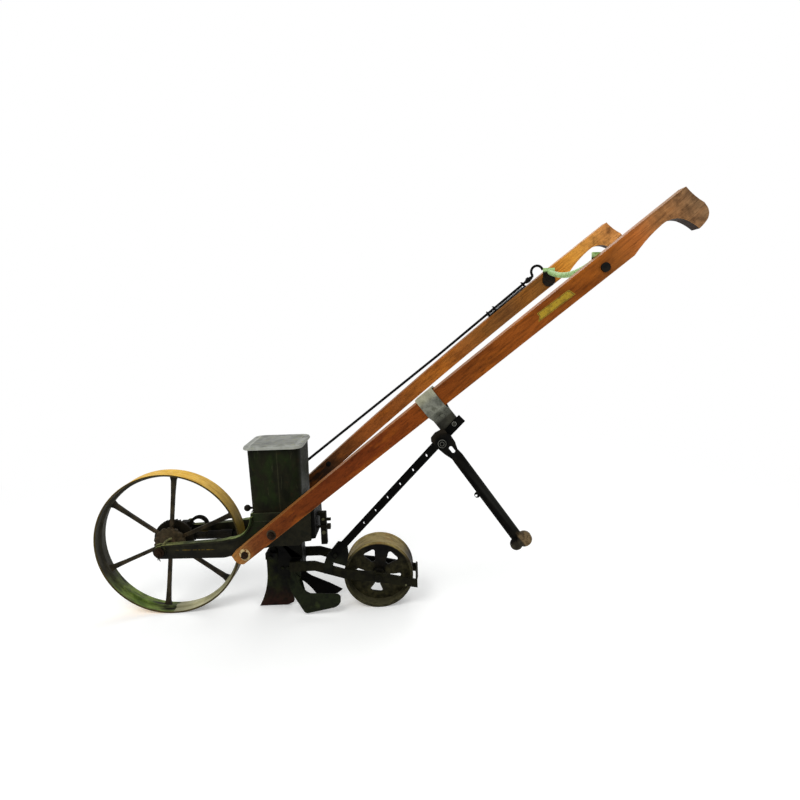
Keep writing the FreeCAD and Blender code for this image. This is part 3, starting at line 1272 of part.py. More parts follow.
def handle_strap():
    """Strap folded over the left handle; its legs meet below and grip the bar."""
    strap = body("strap_fold")
    section = sketch(strap, "YZ", "strap_section", "-strap_width / 2")
    inside = "(handle_thickness / 2 + 2 * seat_gap)"
    top = "(strap_top + seat_gap)"
    outline(section, [
        (f"-{inside} - strap_sheet", f"{top} + strap_sheet"),
        (f"-{inside} - strap_sheet", "-strap_low"), ("-strap_sheet", "-strap_low - 14"),
        ("-strap_sheet", "-strap_reach"), ("strap_sheet", "-strap_reach"),
        ("strap_sheet", "-strap_low - 14"), (f"{inside} + strap_sheet", "-strap_low"),
        (f"{inside} + strap_sheet", f"{top} + strap_sheet")])
    outline(section, [
        (f"-{inside}", top), (f"-{inside}", "-strap_low"), ("0", "-strap_low - 12"),
        (inside, "-strap_low"), (inside, top)])
    pad(section, "strap_width")
    eyes = []
    for index, (u, v) in enumerate((STRAP_LOW_BOLT, STRAP_HIGH_BOLT), 1):
        eyes.append(strap_bolt(f"strap_bolt_{index}", "handle_bolt",
                               "2 * bar_thickness + 6 * strap_sheet", u, v))
    place(strap, "strap_x", f"-{plan_distance('strap_x')}", rise_height("strap_x"),
          plan_yaw("strap_x"), "handle_rise")
    return keep(fused("handle_strap", strap, *eyes), "handle_strap")


CLIP_RUN = "bar_first_hole + bar_pitch * bar_holes"
LEG_X, CLIP_Y, LEG_Z = along_bar(CLIP_RUN)
LEG_Y = f"({CLIP_Y} - leg_plane)"


def leg_shank(name, radius):
    """Bar along Y through the perforated bar at the leg's pivot."""
    return cylinder(name, radius, "leg_plane + leg_web + 16", LEG_X,
                    f"{LEG_Y} - leg_web - 4", LEG_Z)


def leg_clamp(bar):
    """Pivot of the leg: boss on the outside of the bar, pin, cap and a nut inside."""
    boss = cylinder("clamp_boss", "leg_boss", "leg_plane + 2", LEG_X, LEG_Y, LEG_Z)
    nut = cylinder("clamp_nut", "leg_pin + 4.5", "12", LEG_X, CLIP_Y, LEG_Z)
    cap = cylinder("clamp_cap", "leg_cap", "4", LEG_X, f"{LEG_Y} - leg_web - 4.3", LEG_Z)
    pin = leg_shank("leg_pin_bar", "leg_pin")
    seated = less("clamp_seated", fused("clamp_raw", boss, nut), bar)
    return keep(fused("leg_clamp", seated, pin, cap), "leg_clamp")


def stand_leg():
    """Hinged leg: pressed channel with a slotted head, a small eye and a two-lobed foot."""
    leg = body("stand_leg")
    web = sketch(leg, "XZ", "leg_outline")
    half = "leg_width / 2"
    low = f"(leg_offset - {half})"
    high = f"(leg_offset + {half})"
    outline(web, [
        ("0", "-leg_chin"), ("leg_start / 2", f"{low} - 6"), ("leg_start - 5", low),
        ("leg_length", f"-({half})"), ("leg_length", half), ("leg_start", high),
        ("leg_start * 2 / 3", "leg_head - 7"), ("leg_start / 3", "leg_head - 1.5"),
        ("-3", "leg_head", "20"), ("-leg_chin", "leg_head / 3", "20"),
        ("-leg_chin + 3", "-9", "14")])
    pad(web, "leg_web")
    for name, near, far in (("low", low, f"-({half})"), ("high", f"{high} - leg_web", f"{half} - leg_web")):
        flange = sketch(leg, "XZ", f"leg_flange_{name}")
        outline(flange, [
            ("leg_start", near), ("leg_length", far), ("leg_length", f"{far} + leg_web"),
            ("leg_start", f"{near} + leg_web")])
        pad(flange, "leg_flange")
    for name, radius, side, depth in (("small", "foot_small", "-1", "leg_web + 3"),
                                      ("large", "foot_large", "1", "leg_flange")):
        lobe = sketch(leg, "XZ", f"foot_{name}_outline")
        circle(lobe, radius, "leg_length", f"{side} * foot_spread / 2")
        pad(lobe, depth)
    ring = sketch(leg, "XZ", "leg_eye_outline")
    circle(ring, "leg_eye_radius", "leg_eye", f"-({half}) + 2")
    pad(ring, "leg_web")
    drilled = sketch(leg, "XZ", "leg_eye_bore", "-1")
    circle(drilled, "leg_eye_hole", "leg_eye", f"-({half}) - 1")
    pad(drilled, "leg_web + 2", cut=True, reverse=True)
    eye = sketch(leg, "XZ", "leg_eye_pivot", "-1")
    circle(eye, "leg_pin + running_gap")
    pad(eye, "leg_web + 2", cut=True, reverse=True)
    slot = sketch(leg, "XZ", "leg_slot_outline", "-1")
    across = "leg_head / 3"
    outline(slot, [
        ("leg_slot_start", f"{across} - leg_slot"), ("leg_slot_end", f"{across} - leg_slot", "leg_slot * 1.1"),
        ("leg_slot_end", f"{across} + leg_slot"),
        ("leg_slot_start", f"{across} + leg_slot", "leg_slot * 1.1")])
    pad(slot, "leg_web + 2", cut=True, reverse=True)
    place(leg, LEG_X, LEG_Y, LEG_Z, "0", "-leg_hang")
    return keep(leg, "stand_leg")


# ------------------------------------------------------------------ clutch rod

def rod_piece(name, radius, length, x, y, z, yaw, pitch):
    """Straight length of round rod from (x, y, z), yawed and pitched up."""
    made = doc.addObject("Part::Cylinder", name)
    made.setExpression("Radius", full(radius))
    made.setExpression("Height", full(length))
    where = f"vector(axle_x + ({x}); {y}; {z})"
    made.setExpression("Placement", full(
        f"placement({where}; rotation({yaw}; 90 - ({pitch}); 0))"))
    return made


def clutch_rod():
    """Long rod over the right handle, cranked once, with a finger hook at the top."""
    bend_x = f"rod_foot_x + rod_length * cos(rod_lean) * cos(rod_splay)"
    bend_y = f"rod_foot_y + rod_length * cos(rod_lean) * sin(rod_splay)"
    bend_z = f"rod_foot_z + rod_length * sin(rod_lean)"
    low = rod_piece("rod_low", "rod_radius", "rod_length", "rod_foot_x", "rod_foot_y",
                    "rod_foot_z", "rod_splay", "rod_lean")
    knee = ball("rod_knee", "rod_radius", bend_x, bend_y, bend_z)
    high = rod_piece("rod_high", "rod_radius", "rod_tail", bend_x, bend_y, bend_z,
                     "rod_tail_splay", "handle_rise")
    end_x = f"{bend_x} + rod_tail * cos(handle_rise) * cos(rod_tail_splay)"
    end_y = f"{bend_y} + rod_tail * cos(handle_rise) * sin(rod_tail_splay)"
    end_z = f"{bend_z} + rod_tail * sin(handle_rise)"
    nut = rod_piece("rod_nut", "rod_radius + 4", "8",
                    f"{end_x} - 22 * cos(handle_rise)", end_y,
                    f"{end_z} - 22 * sin(handle_rise)", "rod_tail_splay", "handle_rise")
    hook = doc.addObject("Part::Torus", "finger_hook")
    hook.setExpression("Radius1", full("hook_radius"))
    hook.setExpression("Radius2", full("rod_radius"))
    hook.Angle3 = 211
    where = (f"vector(axle_x + {end_x} + hook_radius * cos(45); {end_y};"
             f" {end_z} + hook_radius * sin(45))")
    hook.setExpression("Placement", full(f"placement({where}; rotation(0; -14; 90))"))
    foot = cylinder("rod_foot", "rod_radius", "rod_foot_y - lever_y", "rod_foot_x",
                    "lever_y", "rod_foot_z")
    knob = ball("rod_foot_bend", "rod_radius", "rod_foot_x", "rod_foot_y", "rod_foot_z")
    return keep(fused("clutch_rod", low, knee, high, nut, hook, foot, knob), "clutch_rod")


def ball(name, radius, x, y, z, turn=None):
    made = doc.addObject("Part::Sphere", name)
    made.setExpression("Radius", full(radius))
    return seat(made, x, y, z, turn)


def clutch_lever():
    """Short lever on the right casting, between the clutch and the foot of the rod."""
    arm = body("lever_arm")
    side = sketch(arm, "XZ", "lever_outline", "-lever_y")
    outline(side, [
        ("rod_foot_x + 22", "deck_bottom + 32"), ("rod_foot_x + 38", "deck_bottom + 38"),
        ("rod_foot_x + 9", "rod_foot_z + 6"), ("rod_foot_x - 9", "rod_foot_z + 6"),
        ("rod_foot_x - 9", "rod_foot_z - 8")])
    pad(side, "5")
    seat(arm)
    stub = cylinder("lever_stub", "6", "lever_y - arm_inner - arm_web - 5 + 5",
                    "rod_foot_x + 28", "arm_inner + arm_web", "deck_bottom + 40")
    return keep(fused("clutch_lever", arm, stub), "clutch_lever")


def rod_guide():
    """Guide plate on top of the right handle, under the clutch rod."""
    plate = doc.addObject("Part::Box", "guide_plate")
    plate.setExpression("Length", full("guide_length"))
    plate.setExpression("Width", full("guide_width"))
    plate.setExpression("Height", full("guide_sheet"))
    top = "(handle_top_end + guide_lift)"
    where = (f"vector(axle_x + guide_x; {plan_distance('guide_x')} - guide_width / 2;"
             f" {rise_height('guide_x', top)})")
    plate.setExpression("Placement", full(
        f"placement({where}; rotation(-{plan_yaw('guide_x + 60')}; -handle_rise; 0))"))
    return keep(plate, "rod_guide")


# ------------------------------------------------------------------- seed gate

def gate_bar():
    """Upright bar behind the seed base, hung from a short link."""
    bar = block("gate_upright", "gate_x - gate_thickness / 2", "-gate_width / 2",
                "gate_bottom", "gate_thickness", "gate_width", "gate_top - gate_bottom")
    link = block("gate_link", "deck_rear + 8", "-gate_width / 2", "gate_top - 9",
                 "gate_x - deck_rear - 8", "gate_width", "9")
    lug = block("gate_lug", "gate_x + gate_thickness / 2", "-gate_width / 2", "gate_top - 24",
                "gate_lug", "gate_width / 2", "7")
    return keep(fused("gate_bar", bar, link, lug), "gate_bar")


def gate_screw():
    """Adjusting screw through the gate bar, with a knob behind it."""
    stem = cylinder("gate_stem", "screw_radius", "gate_x + gate_thickness / 2 + 12 - deck_rear - 8",
                    "deck_rear + 8", "-gate_width / 2 - screw_radius - 1", "screw_z", "X")
    knob = cylinder("gate_knob", "8", "9", "gate_x + gate_thickness / 2 + 3", "-gate_width / 2 - screw_radius - 1",
                    "screw_z", "X")
    return keep(fused("gate_screw", stem, knob), "gate_screw")


# ------------------------------------------------------------------- assembly

def build():
    """Every piece, from the drive wheel backward."""
    drive_wheel()
    drive_gear()
    drive_pinion()
    drive_shaft()
    front_axle()
    mirrored(frame_arm(), "frame_arm_right")
    seed_base()
    shaft_bearing()
    clutch_yoke()
    hopper()
    hopper_lid()
    lid_hinge()
    thumb_screw()
    boot()
    furrow_opener()
    opener_clamp()
    covering_blades()
    press_wheel()
    press_axle()
    mirrored(fork_bar(), "fork_bar_right")
    scraper()
    blank, left = handle()
    mirrored(left, "handle_right")
    mirrored(handle_lug(blank), "handle_lug_right")
    spreader_brace(blank)
    bar = perforated_bar()
    brace_bracket()
    handle_strap()
    leg_clamp(bar)
    stand_leg()
    clutch_rod()
    clutch_lever()
    rod_guide()
    gate_bar()
    gate_screw()


def centre():
    """Move the machine so that the origin lies under the middle of its length."""
    doc.recompute()
    low = min(piece.Shape.optimalBoundingBox(False).XMin for piece in PIECES)
    high = max(piece.Shape.optimalBoundingBox(False).XMax for piece in PIECES)
    sheet.set(AXLE_CELL, str(-(low + high) / 2))
    doc.recompute()


def export():
    """Write each sub-part, once every object in the document has proved sound."""
    for obj in doc.Objects:
        if "Invalid" in obj.State or "Error" in obj.State:
            raise RuntimeError(f"{obj.Name} did not build")
    for piece in PIECES:
        shape = piece.Shape
        if shape.isNull() or not shape.isValid() or not shape.Solids:
            raise RuntimeError(f"{piece.Label} is not a sound solid")
        shape.exportStep(os.path.join("parts", piece.Label + ".step"))


build()
centre()
export()
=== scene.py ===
import math
import bmesh
import bpy
from mathutils import Matrix, Vector
from mathutils.bvhtree import BVHTree


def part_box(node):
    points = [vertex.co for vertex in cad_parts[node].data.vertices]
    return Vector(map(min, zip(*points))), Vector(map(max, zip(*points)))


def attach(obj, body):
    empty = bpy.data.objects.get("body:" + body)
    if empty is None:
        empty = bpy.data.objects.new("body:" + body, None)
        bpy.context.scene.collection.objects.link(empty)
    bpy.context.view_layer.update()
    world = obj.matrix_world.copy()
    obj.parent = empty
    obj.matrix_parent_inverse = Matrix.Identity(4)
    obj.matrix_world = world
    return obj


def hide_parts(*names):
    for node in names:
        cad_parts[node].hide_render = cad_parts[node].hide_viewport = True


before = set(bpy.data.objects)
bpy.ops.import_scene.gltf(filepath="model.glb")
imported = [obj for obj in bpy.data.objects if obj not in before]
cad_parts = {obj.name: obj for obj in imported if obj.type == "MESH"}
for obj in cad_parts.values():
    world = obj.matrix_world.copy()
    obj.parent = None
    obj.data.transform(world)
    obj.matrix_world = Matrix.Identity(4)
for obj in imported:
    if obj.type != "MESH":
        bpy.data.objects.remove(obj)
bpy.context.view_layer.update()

scene = bpy.context.scene


# ---------------------------------------------------------------- floor, light and camera
# A pale studio: soft light from all round with one large lamp above the drive wheel.
# The floor is a white sheet that keeps the seeder's shadow and fades to plain white.

def colour(code):
    """An sRGB hex colour as the linear values that Blender works with."""
    parts = [int(code[i:i + 2], 16) / 255 for i in (1, 3, 5)]
    return [p / 12.92 if p <= 0.04045 else ((p + 0.055) / 1.055) ** 2.4 for p in parts] + [1.0]


def add(place, kind, sockets=None, **settings):
    """Adds a node, with its settings, values and links, to a material, a node group or the tree of a socket."""
    tree = place.id_data if isinstance(place, bpy.types.NodeSocket) else getattr(place, "node_tree", place)
    made = tree.nodes.new(kind)
    for name, value in settings.items():
        setattr(made, name, value)
    for name, value in (sockets or {}).items():
        if isinstance(value, bpy.types.NodeSocket):
            tree.links.new(value, made.inputs[name])
        else:
            made.inputs[name].default_value = value
    return made


def blank_finish(name):
    """An empty material, and its object coordinates in metres."""
    finish = bpy.data.materials.new(name)
    finish.use_nodes = True
    finish.node_tree.nodes.clear()
    return finish, add(finish, "ShaderNodeTexCoord").outputs["Object"]


def placed(name, mesh):
    piece = bpy.data.objects.new(name, mesh)
    scene.collection.objects.link(piece)
    return piece


def seen_directly(finish):
    """1 for rays that come from the camera, a reflection or clear glass."""
    ray = add(finish, "ShaderNodeLightPath").outputs
    bright = add(finish, "ShaderNodeMath", {0: ray["Is Camera Ray"], 1: ray["Is Glossy Ray"]}, operation="MAXIMUM")
    return add(finish, "ShaderNodeMath", {0: bright.outputs[0], 1: ray["Is Transmission Ray"]},
               operation="MAXIMUM").outputs[0]


scene.view_settings.view_transform = "Standard"
world = bpy.data.worlds.new("studio")
scene.world = world
world.use_nodes = True
world.node_tree.nodes.clear()
room = add(world, "ShaderNodeBackground", {"Color": colour("#f4f6f8"), "Strength": 0.62})
white = add(world, "ShaderNodeBackground", {"Color": (1, 1, 1, 1), "Strength": 1.0})
air = add(world, "ShaderNodeMixShader", {0: seen_directly(world), 1: room.outputs[0], 2: white.outputs[0]})
add(world, "ShaderNodeOutputWorld", {"Surface": air.outputs[0]})

# White paper: matt, and lifted a little so that only the seeder's shadow shows on it.
sheet, place = blank_finish("white_floor")
reach = add(sheet, "ShaderNodeVectorMath", {0: place}, operation="LENGTH").outputs["Value"]
fade = add(sheet, "ShaderNodeMapRange", {"Value": reach, "From Min": 1.1, "From Max": 2.2},
           interpolation_type="SMOOTHSTEP").outputs[0]
paper = add(sheet, "ShaderNodeBsdfDiffuse", {"Color": colour("#f3f3f1")})
lift = add(sheet, "ShaderNodeEmission", {"Color": (1, 1, 1, 1), "Strength": 0.22})
lifted = add(sheet, "ShaderNodeAddShader", {0: paper.outputs[0], 1: lift.outputs[0]})
plain = add(sheet, "ShaderNodeEmission", {"Color": (1, 1, 1, 1), "Strength": 1.0})
seen = add(sheet, "ShaderNodeMixShader", {0: fade, 1: lifted.outputs[0], 2: plain.outputs[0]})
cover = add(sheet, "ShaderNodeMixShader", {0: seen_directly(sheet), 1: paper.outputs[0], 2: seen.outputs[0]})
add(sheet, "ShaderNodeOutputMaterial", {"Surface": cover.outputs[0]})
half_floor = 9
floor_mesh = bpy.data.meshes.new("floor")
floor_mesh.from_pydata([(x * half_floor, y * half_floor, 0) for x, y in ((-1, -1), (1, -1), (1, 1), (-1, 1))], [],
                       [(0, 1, 2, 3)])
floor_mesh.materials.append(sheet)
placed("floor", floor_mesh)

for title, spot, target, size, power in (
        ("main_lamp", (-1.3, -2.2, 3.1), (-0.1, 0, 0.4), 1.9, 62),
        ("side_lamp", (2.4, -1.9, 1.9), (0.2, 0, 0.4), 1.6, 16),
        ("back_lamp", (0.4, 2.6, 2.4), (0, 0, 0.4), 1.8, 22)):
    lamp = bpy.data.lights.new(title, "AREA")
    lamp.energy, lamp.size = power, size
    lamp_object = placed(title, lamp)
    lamp_object.location = spot
    lamp_object.rotation_euler = (Vector(target) - Vector(spot)).to_track_quat("-Z", "Y").to_euler()

lens = bpy.data.cameras.new("camera")
lens.lens, lens.sensor_width = 25.2, 36
lens.shift_x, lens.shift_y = -0.0279, -0.01146
lens.clip_end = 60
stand, turned_by, tilted_by, rolled_by = (0.1111, -1.4335, 0.7788), -0.017, -0.142, -0.029
camera = placed("camera", lens)
camera.matrix_world = (Matrix.Translation(stand) @ Matrix.Rotation(turned_by, 4, "Z")
                       @ Matrix.Rotation(math.pi / 2 + tilted_by, 4, "X") @ Matrix.Rotation(rolled_by, 4, "Z"))
scene.camera = camera


# ---------------------------------------------------------------- drive wheel
# A grey-iron wheel cast in one piece: flat tread, six tapered spokes and a notched drive hub.
# It was dipped in green and striped yellow; the tread is rubbed golden and the spokes have gone brown.
# Painted light and shade: the tread dims towards the back, and the inside of the rim is dark above and green and tan
# below.

def middle_of(node):
    return (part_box(node)[0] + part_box(node)[1]) / 2


axle = middle_of("front_axle")


def at(x, y, z):
    """A point given in millimetres behind the front axle, to the right and above the ground."""
    return Vector((axle.x + x / 1000, y / 1000, z / 1000))


def flatten(piece):
    """Turns a piece's modifiers into plain mesh."""
    mesh = bpy.data.meshes.new_from_object(piece.evaluated_get(bpy.context.evaluated_depsgraph_get()))
    piece.modifiers.clear()
    piece.data = mesh


def round_over(piece, edge, steps=2, angle=28, limit="ANGLE"):
    """Rounds the edges of a piece by this many millimetres and smooths the rest."""
    bevel = piece.modifiers.new("rounded edges", "BEVEL")
    bevel.width = edge / 1000
    bevel.segments = steps
    bevel.limit_method = limit
    bevel.angle_limit = math.radians(angle)
    bevel.use_clamp_overlap = limit == "WEIGHT"
    flatten(piece)
    piece.data.shade_smooth()
    piece.data.set_sharp_from_angle(angle=math.radians(angle + 6))
    even = piece.modifiers.new("flat faces", "WEIGHTED_NORMAL")
    even.keep_sharp = True
    flatten(piece)


def softened(node, body, edge, finish, steps=2, angle=28, share=None, dress=None):
    """The CAD node's own shape with its sharp edges rounded over, as a casting or a forging has them.

    share gives each edge its part of the rounding, where it isn't the same all over. dress moves the corners
    of a plate that is drilled right through, whose triangles then stay as they are."""
    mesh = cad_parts[node].data.copy()
    shape = bmesh.new()
    shape.from_mesh(mesh)
    bmesh.ops.remove_doubles(shape, verts=shape.verts, dist=0.00002)
    if dress:
        dress(shape)
    else:
        bmesh.ops.dissolve_limit(shape, angle_limit=math.radians(0.6), verts=shape.verts, edges=shape.edges)
    if share:
        weight = shape.edges.layers.float.new("bevel_weight_edge")
        for line in shape.edges:
            if len(line.link_faces) == 2 and line.calc_face_angle() > math.radians(angle):
                line[weight] = share(line)
    shape.to_mesh(mesh)
    shape.free()
    mesh.materials.clear()
    mesh.materials.append(finish)
    piece = placed(node + "_skin", mesh)
    round_over(piece, edge, steps, angle, "WEIGHT" if share else "ANGLE")
    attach(piece, body)
    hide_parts(node)


def measured(where, shift=0.0, tilt=0.0):
    """Metres along, to the right and up, in a frame that is shifted along and tilted."""
    laid = add(where, "ShaderNodeMapping", {"Vector": where, "Rotation": (0, tilt, 0), "Location": (-shift, 0, 0)})
    return add(where, "ShaderNodeSeparateXYZ", {0: laid.outputs[0]}).outputs


def graded(amount, stops):
    """Tones that change with an amount; stops are pairs of that amount and a colour."""
    ramp = add(amount, "ShaderNodeValToRGB", {"Fac": amount})
    marks = ramp.color_ramp.elements
    while len(marks) < len(stops):
        marks.new(0.5)
    for mark, (position, tone) in zip(marks, stops):
        mark.position, mark.color = position, colour(tone)
    return ramp.outputs["Color"]


def clouds(where, patch, detail, crisp, stretch):
    spread = add(where, "ShaderNodeMapping", {"Vector": where, "Scale": stretch})
    return add(where, "ShaderNodeTexNoise", {"Vector": spread.outputs[0], "Scale": 1000 / patch, "Detail": detail,
                                             "Roughness": crisp}).outputs["Fac"]


def mottled(where, tones, patch, stretch=(1, 1, 1), crisp=0.55):
    """Tones that drift into one another over patches of about this many millimetres."""
    stops = [(0.34 + 0.32 * step / (len(tones) - 1), tone) for step, tone in enumerate(tones)]
    return graded(clouds(where, patch, 5, crisp, stretch), stops)


def between(value, low, high, least=0, most=1):
    """How far a coat has come in: least where the value is low and most where it is high."""
    return add(value, "ShaderNodeMapRange", {"Value": value, "From Min": low, "From Max": high,
                                             "To Min": least, "To Max": most}).outputs[0]


def spots(where, size, low, high, stretch=(1, 1, 1), detail=4):
    """0 to 1 in irregular spots of this many millimetres; low and high set how much they cover."""
    return between(clouds(where, size, detail, 0.6, stretch), low, high)


def all_of(*shares):
    """The product of several shares, which is 1 only where each of them is."""
    product = shares[0]
    for share in shares[1:]:
        product = add(product, "ShaderNodeMath", {0: product, 1: share}, operation="MULTIPLY").outputs[0]
    return product


def band(value, low, high, soft):
    """1 where a value lies between low and high, with soft ends."""
    return all_of(between(value, low - soft, low + soft), between(value, high + soft, high - soft))


def layered(ground, *coats):
    """Coats laid over a ground tone in turn; each is its tone and the shares of it that show."""
    for tone, *shares in coats:
        over = colour(tone) if isinstance(tone, str) else tone
        ground = add(ground, "ShaderNodeMix", {0: all_of(*shares), 6: ground, 7: over},
                     data_type="RGBA", blend_type="MIX").outputs[2]
    return ground


def facing(where):
    """The direction that the surface faces, with its bumps left out."""
    return add(where, "ShaderNodeSeparateXYZ", {0: add(where, "ShaderNodeNewGeometry").outputs["Normal"]}).outputs


def side_on(where):
    """1 on faces that look to either side of the machine."""
    return between(add(where, "ShaderNodeMath", {0: facing(where)["Y"]}, operation="ABSOLUTE").outputs[0], 0.55, 0.85)


def worn_arris(where, radius):
    """0 on open faces and 1 along outside edges, where hands and soil rub the coat away."""
    eased = add(where, "ShaderNodeBevel", {"Radius": radius / 1000}, samples=4)
    true = add(where, "ShaderNodeNewGeometry")
    turn = add(where, "ShaderNodeVectorMath", {0: eased.outputs[0], 1: true.outputs["True Normal"]},
               operation="DOT_PRODUCT")
    return between(turn.outputs["Value"], 0.995, 0.8)


def bumped(where, height, strength, depth):
    """A surface that rises by a height pattern, depth in metres."""
    return add(where, "ShaderNodeBump", {"Strength": strength, "Distance": depth, "Height": height}).outputs[0]


def sealed(where, **surface):
    """Ends a material in one shader; a key is a socket's name with underscores."""
    sockets = {name.replace("_", " "): value for name, value in surface.items()}
    shader = add(where, "ShaderNodeBsdfPrincipled", sockets)
    add(where, "ShaderNodeOutputMaterial", {"Surface": shader.outputs[0]})


def old_paint(name, coat, bare=("#120c08", "#2a1a0f", "#1a120d"), chip=0.64, chip_size=7, rub=0.30,
              arris=1.4, gloss=0.55, shine=0.08, grit=1.3, grime=0.35):
    """Old oil paint on cast or rolled iron: coat gives its colours, then dirt, chips and rust lie over it.

    The casting's sand skin shows through as fine bumps, edges are rubbed to brown iron, and dust dulls the flats."""
    finish, where = blank_finish(name)
    paint = coat(where) if callable(coat) else mottled(where, coat, 34)
    paint = layered(paint, ("#0c0b08", spots(where, 19, 0.42, 0.72), grime))
    fine = add(where, "ShaderNodeTexNoise", {"Vector": where, "Scale": 1000 / chip_size, "Detail": 8,
                                             "Roughness": 0.65}).outputs["Fac"]
    worn = add(where, "ShaderNodeMath", {0: worn_arris(where, arris), 1: rub, 2: fine},
               operation="MULTIPLY_ADD").outputs[0]
    chips = between(worn, chip, chip + 0.05)
    dull = between(fine, 0.3, 0.7, gloss - 0.1, gloss + 0.15)
    rough = add(where, "ShaderNodeMath", {0: chips, 1: 0.3, 2: dull}, operation="MULTIPLY_ADD").outputs[0]
    skin = add(where, "ShaderNodeTexNoise", {"Vector": where, "Scale": 1000 / grit, "Detail": 3}).outputs["Fac"]
    step = add(where, "ShaderNodeMath", {0: chips, 1: -0.35, 2: skin}, operation="MULTIPLY_ADD").outputs[0]
    sealed(where, Base_Color=layered(paint, (mottled(where, bare, 6, crisp=0.7), chips)), Roughness=rough,
           Normal=bumped(where, step, 0.3, 0.0006), IOR=1.5, Specular_IOR_Level=shine)
    return finish


def around(where, centre, roll):
    """Degrees round a wheel from its top towards the back, metres from its centre, and its tread rolled out flat."""
    parts = add(where, "ShaderNodeSeparateXYZ", {0: add(where, "ShaderNodeMapping", {
        "Vector": where, "Location": (-centre.x, 0, -centre.z)}).outputs[0]}).outputs
    turn = add(where, "ShaderNodeMath", {0: parts["X"], 1: parts["Z"]}, operation="ARCTAN2").outputs[0]
    flat = add(where, "ShaderNodeCombineXYZ", {0: parts["X"], 1: parts["Z"]})
    distance = add(where, "ShaderNodeVectorMath", {0: flat.outputs[0]}, operation="LENGTH").outputs["Value"]
    degrees = all_of(turn, 180 / math.pi)
    rolled = add(where, "ShaderNodeCombineXYZ", {0: all_of(degrees, roll), 1: parts["Y"], 2: distance}).outputs[0]
    return degrees, distance, rolled


def wheel_coat(where):
    """Worn enamel: golden and silky on the tread, brightest on top as painted highlight and browner towards the back as
    painted shade; green inside the rim, darkened above by painted shade, green and tan below in painted light; dull
    brown on the spokes.
    """
    degrees, distance, rolled = around(where, axle, 0.0033)
    centred = add(where, "ShaderNodeMapping", {"Vector": where, "Location": (-axle.x, 0, -axle.z)})
    outward = add(where, "ShaderNodeVectorMath", {0: centred.outputs[0]}, operation="NORMALIZE").outputs[0]
    normal = add(where, "ShaderNodeNewGeometry").outputs["Normal"]
    across = add(where, "ShaderNodeVectorMath", {0: normal, 1: outward}, operation="DOT_PRODUCT").outputs["Value"]
    spoke = layered(mottled(where, ("#12100a", "#221d14", "#2d271a", "#393122"), 26),
                    (mottled(where, ("#1f1a10", "#3a3020", "#453b28", "#523f2c"), 12),
                     between(distance, 0.075, 0.035), 0.75))
    # Inside the rim: the dark tones are painted shade where the rim faces down; the green and tan low down are the
    # rim's paint with painted light, where it faces up.
    lit_rim_green = mottled(rolled, ("#3c4c20", "#5b6f2e", "#7f9146", "#4c5f28"), 20, (0.4, 1, 1))
    tan = mottled(rolled, ("#8d8a68", "#b0ac88", "#c6c19c"), 24, (0.3, 1, 1))
    inner = layered(mottled(rolled, ("#1f1e17", "#33312a", "#3d3a30", "#2a2920"), 26, (0.35, 1, 1)),
                    (lit_rim_green, band(degrees, -178, -130, 16), spots(rolled, 26, 0.36, 0.56, (0.35, 1, 1))),
                    (tan, band(degrees, 118, 181, 22)))
    # The tread's gold is brightest at the top, partly a painted highlight, and turns brown and then near black towards
    # the back: painted shade where the tread turns away from the light.
    gold = mottled(rolled, ("#b5862a", "#d3a136", "#edc052", "#dcae44", "#c7952f"), 9, (0.1, 1, 1), crisp=0.65)
    brown = mottled(rolled, ("#6d5a22", "#94792f", "#7d6a2e"), 9, (0.1, 1, 1))
    back_tread_shade = mottled(rolled, ("#2a2414", "#453e22", "#231d10"), 14, (0.2, 1, 1))
    tread = layered(gold, (brown, between(degrees, 26, 78)), (back_tread_shade, between(degrees, 82, 104)))
    rim_side = mottled(rolled, ("#2a2412", "#453a1c", "#332c18"), 12, (0.2, 1, 1))
    rim = layered(inner, (tread, between(across, 0.2, 0.6)),
                  (rim_side, side_on(where), between(distance, 0.1846, 0.1856)))
    return layered(spoke, (rim, between(distance, 0.1775, 0.1795)))


wheel_paint = old_paint("worn_wheel_enamel", wheel_coat, bare=("#2a1d10", "#4a3419", "#33240f"), chip=0.69, rub=0.16,
                        gloss=0.5, grime=0.2)
softened("drive_wheel", "drive_wheel", 0.9, wheel_paint)


# ---------------------------------------------------------------- bevel gear, pinion, drive shaft and axle
# Cast bevel teeth on the wheel's inner side turn a small pinion; the shaft runs back into the base.
# They are bare iron, black with old grease and dust. Nuts and split pins keep the axle in its brackets.

def greased_iron(name, tones=("#050504", "#0b0a07", "#14110c"), rust="#2b190d", gloss=0.55, sharp=0.8, shine=0.05):
    """Bare cast iron under old grease: nearly black, rough, with brown rust blooms and rubbed edges."""
    return old_paint(name, tones, bare=(rust, "#1c130c", "#3a2a1a"), chip=0.69, rub=0.2, arris=sharp,
                     gloss=gloss, shine=shine, grit=1.0, grime=0.2)


gear_iron = greased_iron("greased_gear_iron", ("#080705", "#12100b", "#1e1a12"))
for node, body in (("drive_gear", "drive_wheel"), ("drive_pinion", "drive_shaft"), ("drive_shaft", "drive_shaft"),
                   ("shaft_bearing", "frame"), ("clutch_yoke", "frame"), ("front_axle", "frame")):
    softened(node, body, 0.5, gear_iron)


def new_tree(name, **inputs):
    """A node tree that takes a mesh and these inputs, and what its input node gives."""
    tree = bpy.data.node_groups.new(name, "GeometryNodeTree")
    kinds = {"Geometry": "Geometry", **inputs, "Finish": "Material"}
    for title, kind in kinds.items():
        tree.interface.new_socket(title.replace("_", " "), in_out="INPUT", socket_type="NodeSocket" + kind)
    tree.interface.new_socket("Geometry", in_out="OUTPUT", socket_type="NodeSocketGeometry")
    return tree, add(tree, "NodeGroupInput").outputs


def end_tree(tree, shape, finish):
    """Makes copies real, gives them their material and ends the tree."""
    real = add(tree, "GeometryNodeRealizeInstances", {0: shape})
    ended = add(tree, "GeometryNodeSetMaterial", {"Geometry": real.outputs[0], "Material": finish})
    add(tree, "NodeGroupOutput", {"Geometry": ended.outputs[0]})
    return tree


STOREYS = ("First", "Second", "Third")


